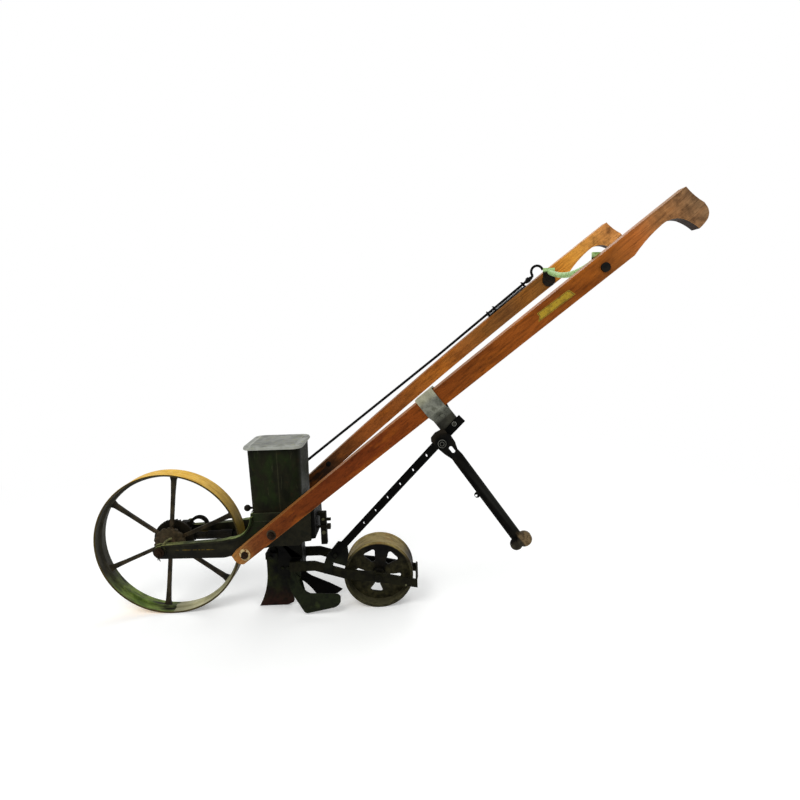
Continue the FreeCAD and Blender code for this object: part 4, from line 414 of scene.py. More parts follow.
def turned_tree():
    """Sets a nut, washer or domed head on every point: a prism whose three storeys have their own widths.

    Each point carries the way it faces and its size; a seeded turn keeps a row of nuts from standing alike."""
    sizes = {storey + size: "Float" for storey in STOREYS for size in ("_Height", "_Width")}
    tree, given = new_tree("nuts_washers_and_heads", Sides="Int", **sizes)
    prism = add(tree, "GeometryNodeMeshCylinder", {"Vertices": given["Sides"], "Side Segments": 3, "Radius": 1.0,
                                                   "Depth": 3.0}, fill_type="NGON").outputs["Mesh"]
    corner = add(tree, "ShaderNodeSeparateXYZ", {0: add(tree, "GeometryNodeInputPosition").outputs[0]}).outputs
    from_foot = add(tree, "ShaderNodeMath", {0: corner["Z"], 1: 1.5}, operation="ADD").outputs[0]
    storey = add(tree, "FunctionNodeFloatToInt", {0: from_foot}, rounding_mode="ROUND").outputs[0]
    levels = []
    for size, at_foot in ((" Width", 1.0), (" Height", 0.0)):
        chosen = add(tree, "GeometryNodeIndexSwitch", data_type="FLOAT")
        chosen.index_switch_items.new()
        chosen.index_switch_items.new()
        tree.links.new(storey, chosen.inputs["Index"])
        chosen.inputs["0"].default_value = at_foot
        for number, title in enumerate(STOREYS, 1):
            tree.links.new(given[title + size], chosen.inputs[str(number)])
        levels.append(chosen.outputs[0])
    shaped = add(tree, "GeometryNodeSetPosition", {"Geometry": prism, "Position": add(tree, "ShaderNodeCombineXYZ", {
        0: all_of(corner["X"], levels[0]), 1: all_of(corner["Y"], levels[0]), 2: levels[1]}).outputs[0]})
    faces = add(tree, "GeometryNodeInputNamedAttribute", {"Name": "axis"}, data_type="FLOAT_VECTOR").outputs[0]
    size = add(tree, "GeometryNodeInputNamedAttribute", {"Name": "size"}, data_type="FLOAT").outputs[0]
    upright = add(tree, "FunctionNodeAlignRotationToVector", {"Vector": faces}, axis="Z").outputs[0]
    turn = add(tree, "FunctionNodeRandomValue", {"Seed": 7}, data_type="FLOAT")
    turn.inputs[3].default_value = 6.28
    spin = add(tree, "FunctionNodeEulerToRotation", {
        0: add(tree, "ShaderNodeCombineXYZ", {2: turn.outputs[1]}).outputs[0]}).outputs[0]
    spun = add(tree, "FunctionNodeRotateRotation", {0: upright, 1: spin}, rotation_space="LOCAL").outputs[0]
    copies = add(tree, "GeometryNodeInstanceOnPoints", {
        "Points": given["Geometry"], "Instance": shaped.outputs[0], "Rotation": spun, "Scale": size})
    return end_tree(tree, copies.outputs[0], given["Finish"])


def wire_tree():
    """Lays a round wire or bead of one thickness along every run of edges, with its corners bent."""
    tree, given = new_tree("wires_and_beads", Thickness="Float", Bend="Float")
    path = add(tree, "GeometryNodeMeshToCurve", {0: given["Geometry"]}).outputs[0]
    bent = add(tree, "GeometryNodeFilletCurve", {"Curve": path, "Radius": given["Bend"], "Count": 4,
                                                 "Limit Radius": True}, mode="POLY").outputs[0]
    outline = add(tree, "GeometryNodeCurvePrimitiveCircle", {"Resolution": 8, "Radius": given["Thickness"]})
    tube = add(tree, "GeometryNodeCurveToMesh", {"Curve": bent, "Profile Curve": outline.outputs[0],
                                                 "Fill Caps": True})
    return end_tree(tree, tube.outputs[0], given["Finish"])


turned_parts, wires = turned_tree(), wire_tree()


def run_tree(name, tree, mesh, values, body):
    """Runs a node tree on a mesh with these input values and keeps what it makes as one plain piece."""
    piece = placed(name, mesh)
    nodes = piece.modifiers.new(name, "NODES")
    nodes.node_group = tree
    for socket in tree.interface.items_tree:
        if socket.in_out == "INPUT" and socket.name in values:
            nodes[socket.identifier] = values[socket.name]
    flatten(piece)
    piece.data.shade_smooth()
    piece.data.set_sharp_from_angle(angle=math.radians(32))
    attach(piece, body)


def turned(name, seats, finish, sides, storeys, body="frame"):
    """Nuts, washers or heads; each seat is a place, the way it faces and a half width in millimetres."""
    mesh = bpy.data.meshes.new(name)
    mesh.from_pydata([seat[0] for seat in seats], [], [])
    mesh.attributes.new("axis", "FLOAT_VECTOR", "POINT")
    mesh.attributes.new("size", "FLOAT", "POINT")
    for number, (_, way, half) in enumerate(seats):
        mesh.attributes["axis"].data[number].vector = way
        mesh.attributes["size"].data[number].value = half / 1000
    values = {"Sides": sides, "Finish": finish}
    for title, (height, width) in zip(STOREYS, storeys):
        values[title + " Height"], values[title + " Width"] = height, width
    run_tree(name, turned_parts, mesh, values, body)


def wired(name, runs, finish, thickness, bend=4.0, closed=False, body="frame"):
    """Wires or beads along runs of points; thickness is half of the wire's, in millimetres."""
    points, edges = [], []
    for run in runs:
        first = len(points)
        points += run
        edges += [(first + k, first + k + 1) for k in range(len(run) - 1)]
        if closed:
            edges.append((len(points) - 1, first))
    mesh = bpy.data.meshes.new(name)
    mesh.from_pydata(points, edges, [])
    run_tree(name, wires, mesh, {"Thickness": thickness / 1000, "Bend": bend / 1000, "Finish": finish}, body)


HEX_NUT = ((0.72, 1.0), (0.84, 0.86), (0.86, 0.5))
FLAT_WASHER = ((0.1, 1.0), (0.14, 0.94), (0.145, 0.5))
DOMED_HEAD = ((0.12, 0.98), (0.38, 0.72), (0.5, 0.34))
SHANK_END = ((0.6, 1.0), (0.85, 0.82), (0.9, 0.4))
left, right, up = Vector((0, -1, 0)), Vector((0, 1, 0)), Vector((0, 0, 1))
SIDES = (("left", -1, left), ("right", 1, right))


def each_side(half, *places):
    """Seats for a nut of this half width, facing outwards, at the same places on both sides."""
    return [(at(x, sign * y, z), way, half) for x, y, z in places for _, sign, way in SIDES]


axle_z = 190.5
nut_iron = greased_iron("rusty_nut_iron", ("#100b07", "#1f150d", "#2b1d12", "#15100b"), rust="#4a2c16", gloss=0.6)
turned("axle_washers", each_side(13, (0, 74, axle_z)), nut_iron, 28, FLAT_WASHER)
turned("axle_nuts", each_side(9, (0, 75.5, axle_z)), nut_iron, 6, HEX_NUT)
turned("axle_ends", each_side(5, (0, 82, axle_z)), nut_iron, 16, SHANK_END)
long_legs = [[at(-3, s * 83.5, 199), at(0, s * 84.5, 194), at(2.5, s * 84.5, 184), at(5.5, s * 82, 172)]
             for s in (-1, 1)]
short_legs = [[at(-1, s * 83.5, 199), at(1, s * 84.5, 190), at(1, s * 84, 176)] for s in (-1, 1)]
wired("axle_split_pins", long_legs + short_legs, nut_iron, 1.1)


# ---------------------------------------------------------------- side castings
# Two long brackets carry the axle, one each side: a web with a turned-out flange that sweeps up to the base.
# Green oil paint with a thin gold line, browned by handling; the flange's top is painted light olive as painted light
# from above, with painted highlights on its nose and its sweep.

def arm_coat(where):
    """Oil paint gone nearly black on the webs, with a broken gold line; the flange's upward faces are light olive as
    painted light, and its nose and sweep are painted highlights.
    """
    parts, face = measured(where, axle.x), facing(where)
    level = add(where, "ShaderNodeMath", {0: parts["X"], 1: 0.018, 2: parts["Z"]}, operation="MULTIPLY_ADD").outputs[0]
    web = layered(mottled(where, ("#0c0c06", "#18170c", "#222013", "#13140a"), 34),
                  ("#0a0906", between(parts["Z"], 0.192, 0.182, 0, 0.7)),
                  ("#7d6418", band(level, 0.1932, 0.1948, 0.0004), band(parts["X"], 0.045, 0.135, 0.012), 0.75,
                   spots(where, 8, 0.42, 0.56)),
                  ("#1c270f", between(parts["Z"], 0.205, 0.235), band(parts["X"], 0.2, 0.262, 0.02),
                   spots(where, 18, 0.36, 0.55)))
    # Painted light: the nose and the sweep's green are painted highlights, and the upward faces of the flange are
    # painted lighter.
    nose = mottled(where, ("#5d6038", "#7d8048", "#6a6c3c"), 14)
    green = mottled(where, ("#48582a", "#63723a", "#808a50", "#546330"), 18)
    top = layered(mottled(where, ("#26291a", "#393e24", "#4c5130", "#2f321e"), 22),
                  (nose, between(parts["X"], 0.07, 0.03, 0, 0.8)), (green, band(parts["X"], 0.172, 0.25, 0.02)))
    return layered(web, (top, between(face["Z"], 0.35, 0.75)),
                   (green, band(parts["X"], 0.16, 0.235, 0.02), between(face["X"], -0.1, -0.4)))


arm_paint = old_paint("striped_arm_enamel", arm_coat, chip=0.68, rub=0.16, gloss=0.5)
for side in ("left", "right"):
    softened("frame_arm_" + side, "frame", 1.4, arm_paint, steps=3)
# Light olive enamel on the cast lips: a painted highlight, where the lips catch the light.
lip_highlight_paint = old_paint("lip_enamel_painted_highlight", ("#4c4b2e", "#67653f", "#585735"), chip=0.67, rub=0.2, gloss=0.45, grime=0.2)
wired("cast_lips", [[at(11, s * 70, 209), at(17, s * 70, 219), at(26, s * 69, 224.5), at(33, s * 67, 226)]
                    for s in (-1, 1)], lip_highlight_paint, 2.6, bend=12)


# ---------------------------------------------------------------- seed base
# The cast box under the hopper that holds the seed works; the side brackets and handles bolt to it.
# Dark green paint, oily and nearly black below, with fresher green at the front shoulder.

def base_coat(where):
    """Oil-soaked enamel: nearly black, with dark green left on the front shoulder."""
    parts = measured(where, axle.x)
    return layered(mottled(where, ("#020202", "#060604", "#0d0d08"), 30),
                   (mottled(where, ("#11190a", "#1c2a0d", "#2b3f14", "#0f150a"), 20),
                    between(parts["Z"], 0.215, 0.262), between(parts["X"], 0.335, 0.245)))


base_paint = old_paint("dark_base_enamel", base_coat, chip=0.70, rub=0.16, gloss=0.55, shine=0.05)
for node, finish in (("seed_base", base_paint), ("boot", base_paint), ("thumb_screw", gear_iron)):
    softened(node, "frame", 1.2, finish)
# Dust and old wax in the seams: a dull olive line.
seam_paint = old_paint("dusty_seam_enamel", ("#1b1c12", "#2e3020", "#232517"), chip=0.67, rub=0.2, grime=0.2)
rim_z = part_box("hopper")[0].z * 1000
bead_z, ledge_z = rim_z + 0.6, rim_z - 21
wired("base_rim_bead", [[at(240, s * 65.2, bead_z), at(384, s * 65.2, bead_z)] for s in (-1, 1)]
      + [[at(x, -56, bead_z), at(x, 56, bead_z)] for x in (235, 386)], seam_paint, 1.1)
wired("base_ledge", [[at(244, s * 66.4, ledge_z), at(330, s * 66.4, ledge_z)] for s in (-1, 1)],
      seam_paint, 1.2)


# ---------------------------------------------------------------- hopper
# A sheet-iron box with rounded corners, folded and lapped near the middle, let into the rim of the cast base.
# Its dark green enamel is scratched, streaked with rust and faded to bright green in patches.

def hopper_coat(where):
    """Enamel on sheet: dark, drifting from black to green, with fine upright scratches and a lapped fold drawn as a
    painted highlight line; the rear faces carry a painted sheen and the top, under the lid's rim, painted shade.
    """
    parts = measured(where, axle.x)
    pale = mottled(where, ("#0e0f09", "#191a11", "#27271e"), 22, (1, 1, 0.4))
    return layered(
        mottled(where, ("#0b0d06", "#121409", "#1b1b0f", "#0e1007"), 48, (1, 1, 0.5)),
        (mottled(where, ("#13190a", "#1c260e", "#171f0b"), 26, (1, 1, 0.5)), spots(where, 30, 0.46, 0.66, (1, 1, 0.6))),
        ("#2b1f10", spots(where, 16, 0.6, 0.7), 0.5),
        ("#5b5c45", spots(where, 3.2, 0.66, 0.7, (1, 1, 0.05), detail=2), 0.3),
        # A painted highlight: a thin light line down the lapped fold.
        ("#5d5e44", band(parts["X"], 0.3092, 0.3112, 0.0012), band(parts["Z"], 0.30, 0.446, 0.01), 0.18),
        # Painted sheen: the rear faces are paler.
        (pale, between(facing(where)["X"], 0.2, 0.8, 0, 0.45)),
        # Painted shade: darker towards the top, under the lid's rim.
        ("#050504", between(parts["Z"], 0.43, 0.452), 0.55),
        ("#1c150b", between(parts["Z"], 0.305, 0.284, 0, 0.45)))


hopper_paint = old_paint("scratched_hopper_enamel", hopper_coat, chip=0.71, rub=0.12, gloss=0.5, grit=2.2, shine=0.05)
softened("hopper", "frame", 0.5, hopper_paint)


# ---------------------------------------------------------------- hopper lid and its hinge
# A pressed lid of galvanised sheet with a raised panel and a turned-down rim, hinged along the right side.
# Zinc that has gone grey: a faint spangle, dull white bloom, brown stains and fine scratches.

def weathered_zinc(name):
    """Hot-dipped zinc on sheet, years old: no longer bright, with a spangle of about 9 mm and shallow dents."""
    finish, where = blank_finish(name)
    parts = measured(where, axle.x)
    spangle = add(where, "ShaderNodeTexVoronoi", {"Vector": where, "Scale": 1000 / 9}).outputs["Color"]
    flake = add(where, "ShaderNodeSeparateXYZ", {0: spangle}).outputs[0]
    tone = layered(
        mottled(where, ("#454742", "#62645d", "#858780", "#50524c"), 26),
        ("#a9aba4", flake, 0.12),
        ("#aaaca5", spots(where, 26, 0.52, 0.66), 0.5),
        ("#34302a", spots(where, 24, 0.54, 0.66), 0.55),
        ("#2a2318", spots(where, 3.5, 0.68, 0.74)),
        ("#b1b2aa", worn_arris(where, 1.2), 0.3),
        (mottled(where, ("#4b4d46", "#65675f", "#565850"), 14), band(parts["X"], 0.2425, 0.3565, 0.003),
         band(parts["Y"], -0.0565, 0.0565, 0.003), between(parts["Y"], 0.05, -0.05, 0.35, 0.85)),
        # A painted highlight: a thin bright line along the front edge of the raised panel.
        ("#b7b9af", band(parts["X"], 0.239, 0.243, 0.002), band(parts["Y"], -0.058, 0.058, 0.002), 0.6),
        ("#8a8a52", spots(where, 14, 0.58, 0.66), 0.35),
        # Painted highlight: faces that don't look up, the turned-down rim and the panel's walls, are lighter.
        ("#a4a69d", between(facing(where)["Z"], 0.9, 0.6), 0.6))
    dents = add(where, "ShaderNodeTexNoise", {"Vector": where, "Scale": 1000 / 30, "Detail": 3}).outputs["Fac"]
    sealed(where, Base_Color=tone, Metallic=0.35, Roughness=between(flake, 0, 1, 0.5, 0.65),
           Normal=bumped(where, dents, 0.5, 0.0016))
    return finish


softened("hopper_lid", "lid", 0.6, weathered_zinc("weathered_zinc_sheet"))
# Hinge iron: brown-black and dry, as thin strap that is rained on.
hinge_iron = greased_iron("rusty_hinge_iron", ("#15120d", "#221c14", "#30281c"), gloss=0.55)
softened("lid_hinge", "frame", 0.3, hinge_iron)
leaf_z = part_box("lid_hinge")[0].z * 1000 + 9
turned("hinge_rivets", [(at(x, 68, leaf_z), right, 3.2) for x in (276, 299, 322)], hinge_iron, 14, DOMED_HEAD)


# ---------------------------------------------------------------- seed gate
# A flat iron bar behind the base sets how wide the seed hole opens, and a thumb screw clamps it.
# It is forged and punched, brown-black, and its two nuts are rubbed to bare olive steel.

gate_iron = greased_iron("gate_iron", ("#0b0a06", "#17150d", "#24211a"), gloss=0.55)
for node in ("gate_bar", "gate_screw"):
    softened(node, "frame", 0.8, gate_iron)
bare_steel = old_paint("bare_gate_steel", ("#3d3c2c", "#59583f", "#6c6a50"), chip=0.66, rub=0.2, gloss=0.5, grime=0.3)
turned("gate_nuts", [(at(407, -7.4, 204), left, 5.6), (at(407, -7.4, 240), left, 4.2)], bare_steel, 6, HEX_NUT)


# ---------------------------------------------------------------- furrow opener, its clamp and the covering blades
# The opener is a steel shoe that parts the soil; two curved blades behind it push the soil back.
# Soil has scoured the tips to brown steel, and old green paint is left higher up.

def soil_coat(where):
    """Green-black paint above and brown, finely scoured steel toward the ground."""
    return layered(mottled(where, ("#08080a", "#10110a", "#1d2010", "#26290f"), 26),
                   (mottled(where, ("#140c08", "#2a1712", "#1c120c"), 18), between(measured(where)["Z"], 0.06, 0.01)))


soil_steel = old_paint("soil_worn_steel", soil_coat, chip=0.68, rub=0.18, gloss=0.55, shine=0.05)
# The near blade keeps mottled olive enamel; the far one is bare iron, black and dull.
near_blade = old_paint("olive_blade_enamel", ("#0a0d06", "#1b2011", "#11140a", "#282e18"), chip=0.67, rub=0.18,
                       gloss=0.5, shine=0.05)
black_blade = old_paint("black_blade_iron", ("#030303", "#080706", "#0f0d0a"), chip=0.69, rub=0.16, shine=0.03)
for node, finish in (("furrow_opener", soil_steel), ("opener_clamp", soil_steel), ("covering_blade_left", near_blade),
                     ("covering_blade_right", black_blade)):
    softened(node, "frame", 1.0, finish)
turned("blade_rivets", each_side(4.6, (330, 26.3, 104)), soil_steel, 16, DOMED_HEAD)
turned("boot_bolts", each_side(4.8, (296, 22, 114), (311, 22, 114)), soil_steel, 6, HEX_NUT)


# ---------------------------------------------------------------- press wheel, its fork and scraper
# A narrow cast wheel firms the soil over the seed, between two forged bars bolted to the boot.
# Its tread is rubbed to tan and its dished disc is nearly black; the bars are brown-black paint.

def press_coat(where):
    """Worn paint: tan and silky on the tread, greasy black on the disc with olive painted light low inside the rim,
    dusty olive at the rim's edge.
    """
    degrees, distance, rolled = around(where, middle_of("press_wheel"), 0.0016)
    tan = mottled(rolled, ("#5d4f2e", "#8a7a4a", "#a5925c", "#7a6a3e", "#937343"), 10, (0.16, 1, 1), crisp=0.65)
    dark = mottled(rolled, ("#0f0c08", "#211a10", "#3a2a1a"), 12, (0.2, 1, 1))
    tread = layered(tan, (dark, between(degrees, 30, 66)))
    # Painted light: the tones named worn here are olive light on the lower inner rim, where it faces up.
    low, low_right = [all_of(band(degrees, start, end, 30), between(distance, 0.068, 0.082))
                      for start, end in ((-240, -120), (115, 240))]
    worn = mottled(where, ("#35331f", "#55513a", "#464230"), 14)
    disc = layered(mottled(where, ("#050403", "#0c0b08", "#17140d"), 22),
                   (worn, add(where, "ShaderNodeMath", {0: low, 1: low_right}, operation="MAXIMUM").outputs[0]))
    away = add(where, "ShaderNodeMath", {0: 1.0, 1: band(degrees, -38, 62, 16)}, operation="SUBTRACT").outputs[0]
    olive = mottled(where, ("#1c1a10", "#2f2c1b", "#3f3b26"), 12)
    return layered(disc, (tread, between(distance, 0.0845, 0.0875)), (olive, side_on(where), away))


press_paint = old_paint("rubbed_press_wheel_paint", press_coat, bare=("#3c2c1a", "#5c4a2f", "#2a1f14"), chip=0.69,
                        rub=0.16, gloss=0.55, grime=0.25)
softened("press_wheel", "press_wheel", 1.0, press_paint)

fork_paint = old_paint("brown_fork_paint", ("#0a0906", "#13120a", "#1c1b0f", "#0e0e08"), chip=0.68, rub=0.16,
                       gloss=0.55, shine=0.04)
for node in ("fork_bar_left", "fork_bar_right", "press_axle", "scraper"):
    softened(node, "frame", 1.0, fork_paint)
press_x, press_z = 549.8, 91.3
THIN_NUT = ((0.36, 1.0), (0.44, 0.86), (0.45, 0.8))
turned("press_axle_washers", each_side(14, (press_x, 50, press_z)), fork_paint, 28, FLAT_WASHER)
turned("press_axle_nuts", each_side(11, (press_x, 51.5, press_z)), fork_paint, 6, THIN_NUT)
turned("scraper_rivets", each_side(3, (621.5, 50, 67.9)), bare_steel, 14, DOMED_HEAD)


# ---------------------------------------------------------------- handles
# Two ash handles sawn from plank, steamed to spread apart, with hand-rounded grips. Red-brown varnish over
# straight grain; the arrises are rubbed pale and the upper faces carry a painted highlight, the undersides are
# painted dark as painted shade with some dirt, and the grips are stained by hands.

slope = math.radians(38.1)
low_bolt = (231, 198)
foot = at(low_bolt[0], 0, low_bolt[1])
foot_along = foot.x * math.cos(slope) + foot.z * math.sin(slope)
foot_across = foot.z * math.cos(slope) - foot.x * math.sin(slope)


def varnished_ash(name, tones, pale_rub_and_highlight="#b98245", wear=0.5):
    """Ash under old spirit varnish: warm, half matt, with long pores and drifts of red.

    tones are pairs of metres along the handle from its lower bolt, and the varnish's colour there."""
    finish, where = blank_finish(name)
    along = add(where, "ShaderNodeMapping", {"Vector": where, "Rotation": (0, slope, 0),
                                             "Location": (-foot_along, 0, 0)}).outputs[0]
    length, face = measured(along)["X"], facing(where)
    varnish = graded(between(length, -0.05, 1.35), [((spot + 0.05) / 1.4, tone) for spot, tone in tones])
    grain = mottled(along, ("#9a9a9a", "#bebebe", "#dcdcdc", "#a9a9a9"), 7, (0.045, 0.9, 1), crisp=0.65)
    grained = add(where, "ShaderNodeMix", {0: 0.75, 6: varnish, 7: grain}, data_type="RGBA",
                  blend_type="OVERLAY").outputs[2]
    patch = all_of(spots(along, 46, 0.5, 0.66, (0.4, 1, 1)), 0.5)
    tone = add(where, "ShaderNodeMix", {0: patch, 6: grained, 7: colour("#8d6d55")}, data_type="RGBA",
               blend_type="MULTIPLY").outputs[2]
    tone = layered(
        tone,
        ("#b3631c", spots(along, 30, 0.52, 0.7, (0.3, 1, 1)), 0.35),
        ("#1f0c04", spots(along, 1.6, 0.6, 0.66, (0.05, 1, 1), detail=2), 0.45),
        ("#1a0b05", spots(where, 5, 0.68, 0.72)),
        ("#2b1a10", between(length, 1.13, 1.24), spots(where, 22, 0.46, 0.64), 0.5),
        # Painted highlight: upward faces are lightened towards the pale tone, and the pale arrises are rubbed wear and
        # painted highlight together.
        (pale_rub_and_highlight, between(face["Z"], 0.35, 0.8, 0, 0.3)),
        (pale_rub_and_highlight, worn_arris(where, 2.4), spots(along, 30, 0.34, 0.55, (0.2, 1, 1)), between(face["Z"], -0.25, 0.0),
         wear),
        # Painted shade: faces that look down are darkened nearly to black, standing also for dirt settled underneath.
        ("#0e0502", between(face["Z"], -0.15, -0.5, 0, 0.92)))
    ridges = add(where, "ShaderNodeMapping", {"Vector": along, "Scale": (0.03, 1, 1)})
    fibre = add(where, "ShaderNodeTexNoise", {"Vector": ridges.outputs[0], "Scale": 1000 / 1.8, "Detail": 3})
    sealed(where, Base_Color=tone, Roughness=between(patch, 0, 0.5, 0.5, 0.4),
           Normal=bumped(where, fibre.outputs["Fac"], 0.25, 0.0005), IOR=1.5, Specular_IOR_Level=0.04)
    return finish


near_ash = varnished_ash("red_varnished_ash", (
    (-0.05, "#8e6432"), (0.0, "#80562c"), (0.03, "#66391b"), (0.08, "#5e2f13"), (0.2, "#5a290d"), (0.42, "#602a0d"),
    (0.55, "#6e350f"), (0.72, "#6b3710"), (0.86, "#7e4215"), (1.0, "#774015"), (1.09, "#7b471c"), (1.15, "#9c5927"),
    (1.21, "#93643a"), (1.29, "#7c5f42")))
far_ash = varnished_ash("faded_varnished_ash", (
    (0.0, "#20160d"), (0.22, "#2c1d11"), (0.3, "#5d3416"), (0.37, "#7f451b"), (0.5, "#7a441b"), (0.66, "#9a5a1e"),
    (0.74, "#8c5424"), (0.82, "#74481e"), (0.92, "#6c4521"), (0.98, "#80501f"), (1.04, "#6e461d"), (1.1, "#b87528"),
    (1.16, "#c88735"), (1.28, "#bc8046")), wear=0.35)


def grip_share(line):
    """The grips are rounded by hand, the rest of a handle only has its arrises taken off."""
    ends = [end.co for end in line.verts]
    way, middle = ends[1] - ends[0], (ends[0] + ends[1]) / 2
    if way.length and abs(way.y) / way.length > 0.7:
        return 0.15
    reached = middle.x * math.cos(slope) + middle.z * math.sin(slope) - foot_along
    grip_start, grip_swell, plain_edge = 1.10, 0.09, 0.4
    return plain_edge + (1 - plain_edge) * min(1.0, max(0.0, (reached - grip_start) / grip_swell))


for side, wood in (("left", near_ash), ("right", far_ash)):
    softened("handle_" + side, "frame", 5.0, wood, steps=3, share=grip_share)


# ---------------------------------------------------------------- gold transfer
# A strip of gold size laid under the varnish on the outside of the left handle, with a notched end.
# It is cracked and rubbed, edged with a thin brown line, and blank.

skins = {}


def on_face(node, x, z, start, way):
    """Where a line across the machine meets a node's surface, and the way that surface faces."""
    if node not in skins:
        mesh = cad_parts[node].data
        skins[node] = BVHTree.FromPolygons([v.co for v in mesh.vertices], [p.vertices[:] for p in mesh.polygons])
    return skins[node].ray_cast(at(x, start, z), Vector((0, way, 0)))[:2]


def gold_transfer(name):
    """Mustard gold under varnish: a soft shine, drifting tone, and wood showing through in specks."""
    finish, where = blank_finish(name)
    parts = add(where, "ShaderNodeSeparateXYZ", {
        0: add(where, "ShaderNodeUVMap", uv_map="transfer").outputs[0]}).outputs
    edge, inside = [all_of(band(parts["X"], x, 1 - x, 0.004), band(parts["Y"], y, 1 - y, 0.012))
                    for x, y in ((0.016, 0.055), (0.035, 0.12))]
    line = add(where, "ShaderNodeMath", {0: edge, 1: inside}, operation="SUBTRACT", use_clamp=True).outputs[0]
    tone = layered(mottled(where, ("#745a0c", "#8d7110", "#a38619", "#80640d"), 12, crisp=0.65),
                   ("#2a1606", line, 0.8), ("#5e2e10", spots(where, 3, 0.64, 0.69)))
    sealed(where, Base_Color=tone, Roughness=0.45, IOR=1.5, Specular_IOR_Level=0.25)
    return finish


transfer = bpy.data.meshes.new("blank_gold_transfer")
rows, columns, notch_depth = 8, 30, 3
corners, squares = [], []
for row in range(rows + 1):
    share = row / rows
    notch = notch_depth * (1 - abs(2 * share - 1))
    first_x, first_z = 924.5 - 3.5 * share + notch, 748.3 + 17.7 * share + 0.8 * notch
    last_x, last_z = 1001 - 14.4 * share, 804 + 9.5 * share
    for column in range(columns + 1):
        reached = column / columns
        spot, normal = on_face("handle_left", first_x + (last_x - first_x) * reached,
                               first_z + (last_z - first_z) * reached, -400, 1)
        corners.append(spot + normal * 0.0003)
        if row < rows and column < columns:
            first = row * (columns + 1) + column
            squares.append((first, first + 1, first + columns + 2, first + columns + 1))
transfer.from_pydata(corners, [], squares)
layer = transfer.uv_layers.new(name="transfer")
for face in transfer.polygons:
    for corner, vertex in zip(face.loop_indices, face.vertices):
        layer.data[corner].uv = (vertex % (columns + 1) / columns, vertex // (columns + 1) / rows)
transfer.materials.append(gold_transfer("gold_transfer"))
foil = placed("blank_gold_transfer", transfer)
film = foil.modifiers.new("film", "SOLIDIFY")
film.thickness, film.offset = 0.0006, 0
flatten(foil)
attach(foil, "frame")


# ---------------------------------------------------------------- handle lugs and spreader
# Bolts and washers hold the handle feet to the base; the lower washers are bright with rust and paint.
# A bar between the grips, painted light green, dips in the middle; its end plates are bare iron, painted near black as
# painted shade under the bar.

lug_iron = greased_iron("lug_iron", ("#120d08", "#20180f", "#2e2114"), gloss=0.6)
for side in ("left", "right"):
    softened("handle_lug_" + side, "frame", 0.6, lug_iron)
# Lower washers: cream paint with rust through it. Upper washers: plain iron gone brown.
cream_washer = old_paint("rusty_cream_washer", ("#8a7044", "#b39a68", "#c4ad7c", "#9a7f50"),
                         bare=("#5a3416", "#7a4a22", "#3a2212"), chip=0.56, rub=0.2, gloss=0.6, grime=0.3)
ring_iron = old_paint("brown_washer_iron", ("#241d14", "#3a3022", "#4a3f2e"), chip=0.66, rub=0.2, grime=0.3)
bolt_pitch = 94
high_bolt = (low_bolt[0] + bolt_pitch * math.cos(slope), low_bolt[1] + bolt_pitch * math.sin(slope))


def washer_seat(side, sign, bolt, half):
    """A washer's seat on a handle's outer face: the face is read beside the hole, and carried back to the bolt."""
    beside, way = on_face("handle_" + side, bolt[0] + 15, bolt[1] + 2, 400 * sign, -sign)
    spot = at(bolt[0], 0, bolt[1])
    spot.y = beside.y - (way.x * (spot.x - beside.x) + way.z * (spot.z - beside.z)) / way.y
    return spot, way, half


for name, bolt, half, finish, outline in (("lower_foot_washers", low_bolt, 15.5, cream_washer, FLAT_WASHER),
                                          ("upper_foot_washers", high_bolt, 12.5, ring_iron,
                                           ((0.1, 1.0), (0.16, 0.9), (0.17, 0.5)))):
    turned(name, [washer_seat(side, sign, bolt, half) for side, sign, _ in SIDES], finish, 28, outline)
bolt_ends = [(on_face("handle_lug_" + side, x, z, 400 * sign, -sign)[0], way)
             for x, z in (low_bolt, high_bolt) for side, sign, way in SIDES]
turned("foot_nuts", [(end, way, 8.4) for end, way in bolt_ends], nut_iron, 6, ((0.5, 1.0), (0.62, 0.86), (0.63, 0.55)))
turned("foot_shanks", [(end + way * 0.005, way, 4.4) for end, way in bolt_ends], nut_iron, 14, SHANK_END)


def spreader_coat(where):
    """Chalky light green enamel on the bar; its end plates are near black, bare iron and painted shade under the bar.
    """
    parts = measured(where)
    aside = add(where, "ShaderNodeMath", {0: parts["Y"]}, operation="ABSOLUTE").outputs[0]
    return layered(mottled(where, ("#7da257", "#9bc075", "#b4d394", "#8db069"), 16),
                   # The end plates: near black, bare iron darkened by painted shade under the bar.
                   (mottled(where, ("#060605", "#12100b", "#22180f"), 14), between(aside, 0.2065, 0.2085),
                    between(parts["Z"], 0.884, 0.879)))


pale_paint = old_paint("pale_green_enamel", spreader_coat, chip=0.70, rub=0.16, gloss=0.5, grime=0.2)
softened("spreader_brace", "frame", 0.8, pale_paint)
stop_place, stop_way = on_face("handle_right", 406, 350.7, 0, 1)
turned("rod_stop_heads", [(stop_place, stop_way, 7.6)], greased_iron("black_stop_iron"), 20, DOMED_HEAD)


# ---------------------------------------------------------------- perforated brace, strap, clamp and leg
# A flat bar with a row of holes ties the fork bracket to the strap on the left handle, and carries the leg.
# Black iron, brown at the edges; the strap is bare steel gone olive grey, and the leg's foot is rusted tan.

leg_pivot = (715.4, 491.4)
bar_foot = (452, 172)
black_iron = greased_iron("black_bar_iron", ("#020202", "#050504", "#0b0a08"), gloss=0.6, shine=0.03)
bracket_iron = greased_iron("bracket_iron", ("#070705", "#10110a", "#1b1d12"), gloss=0.6)


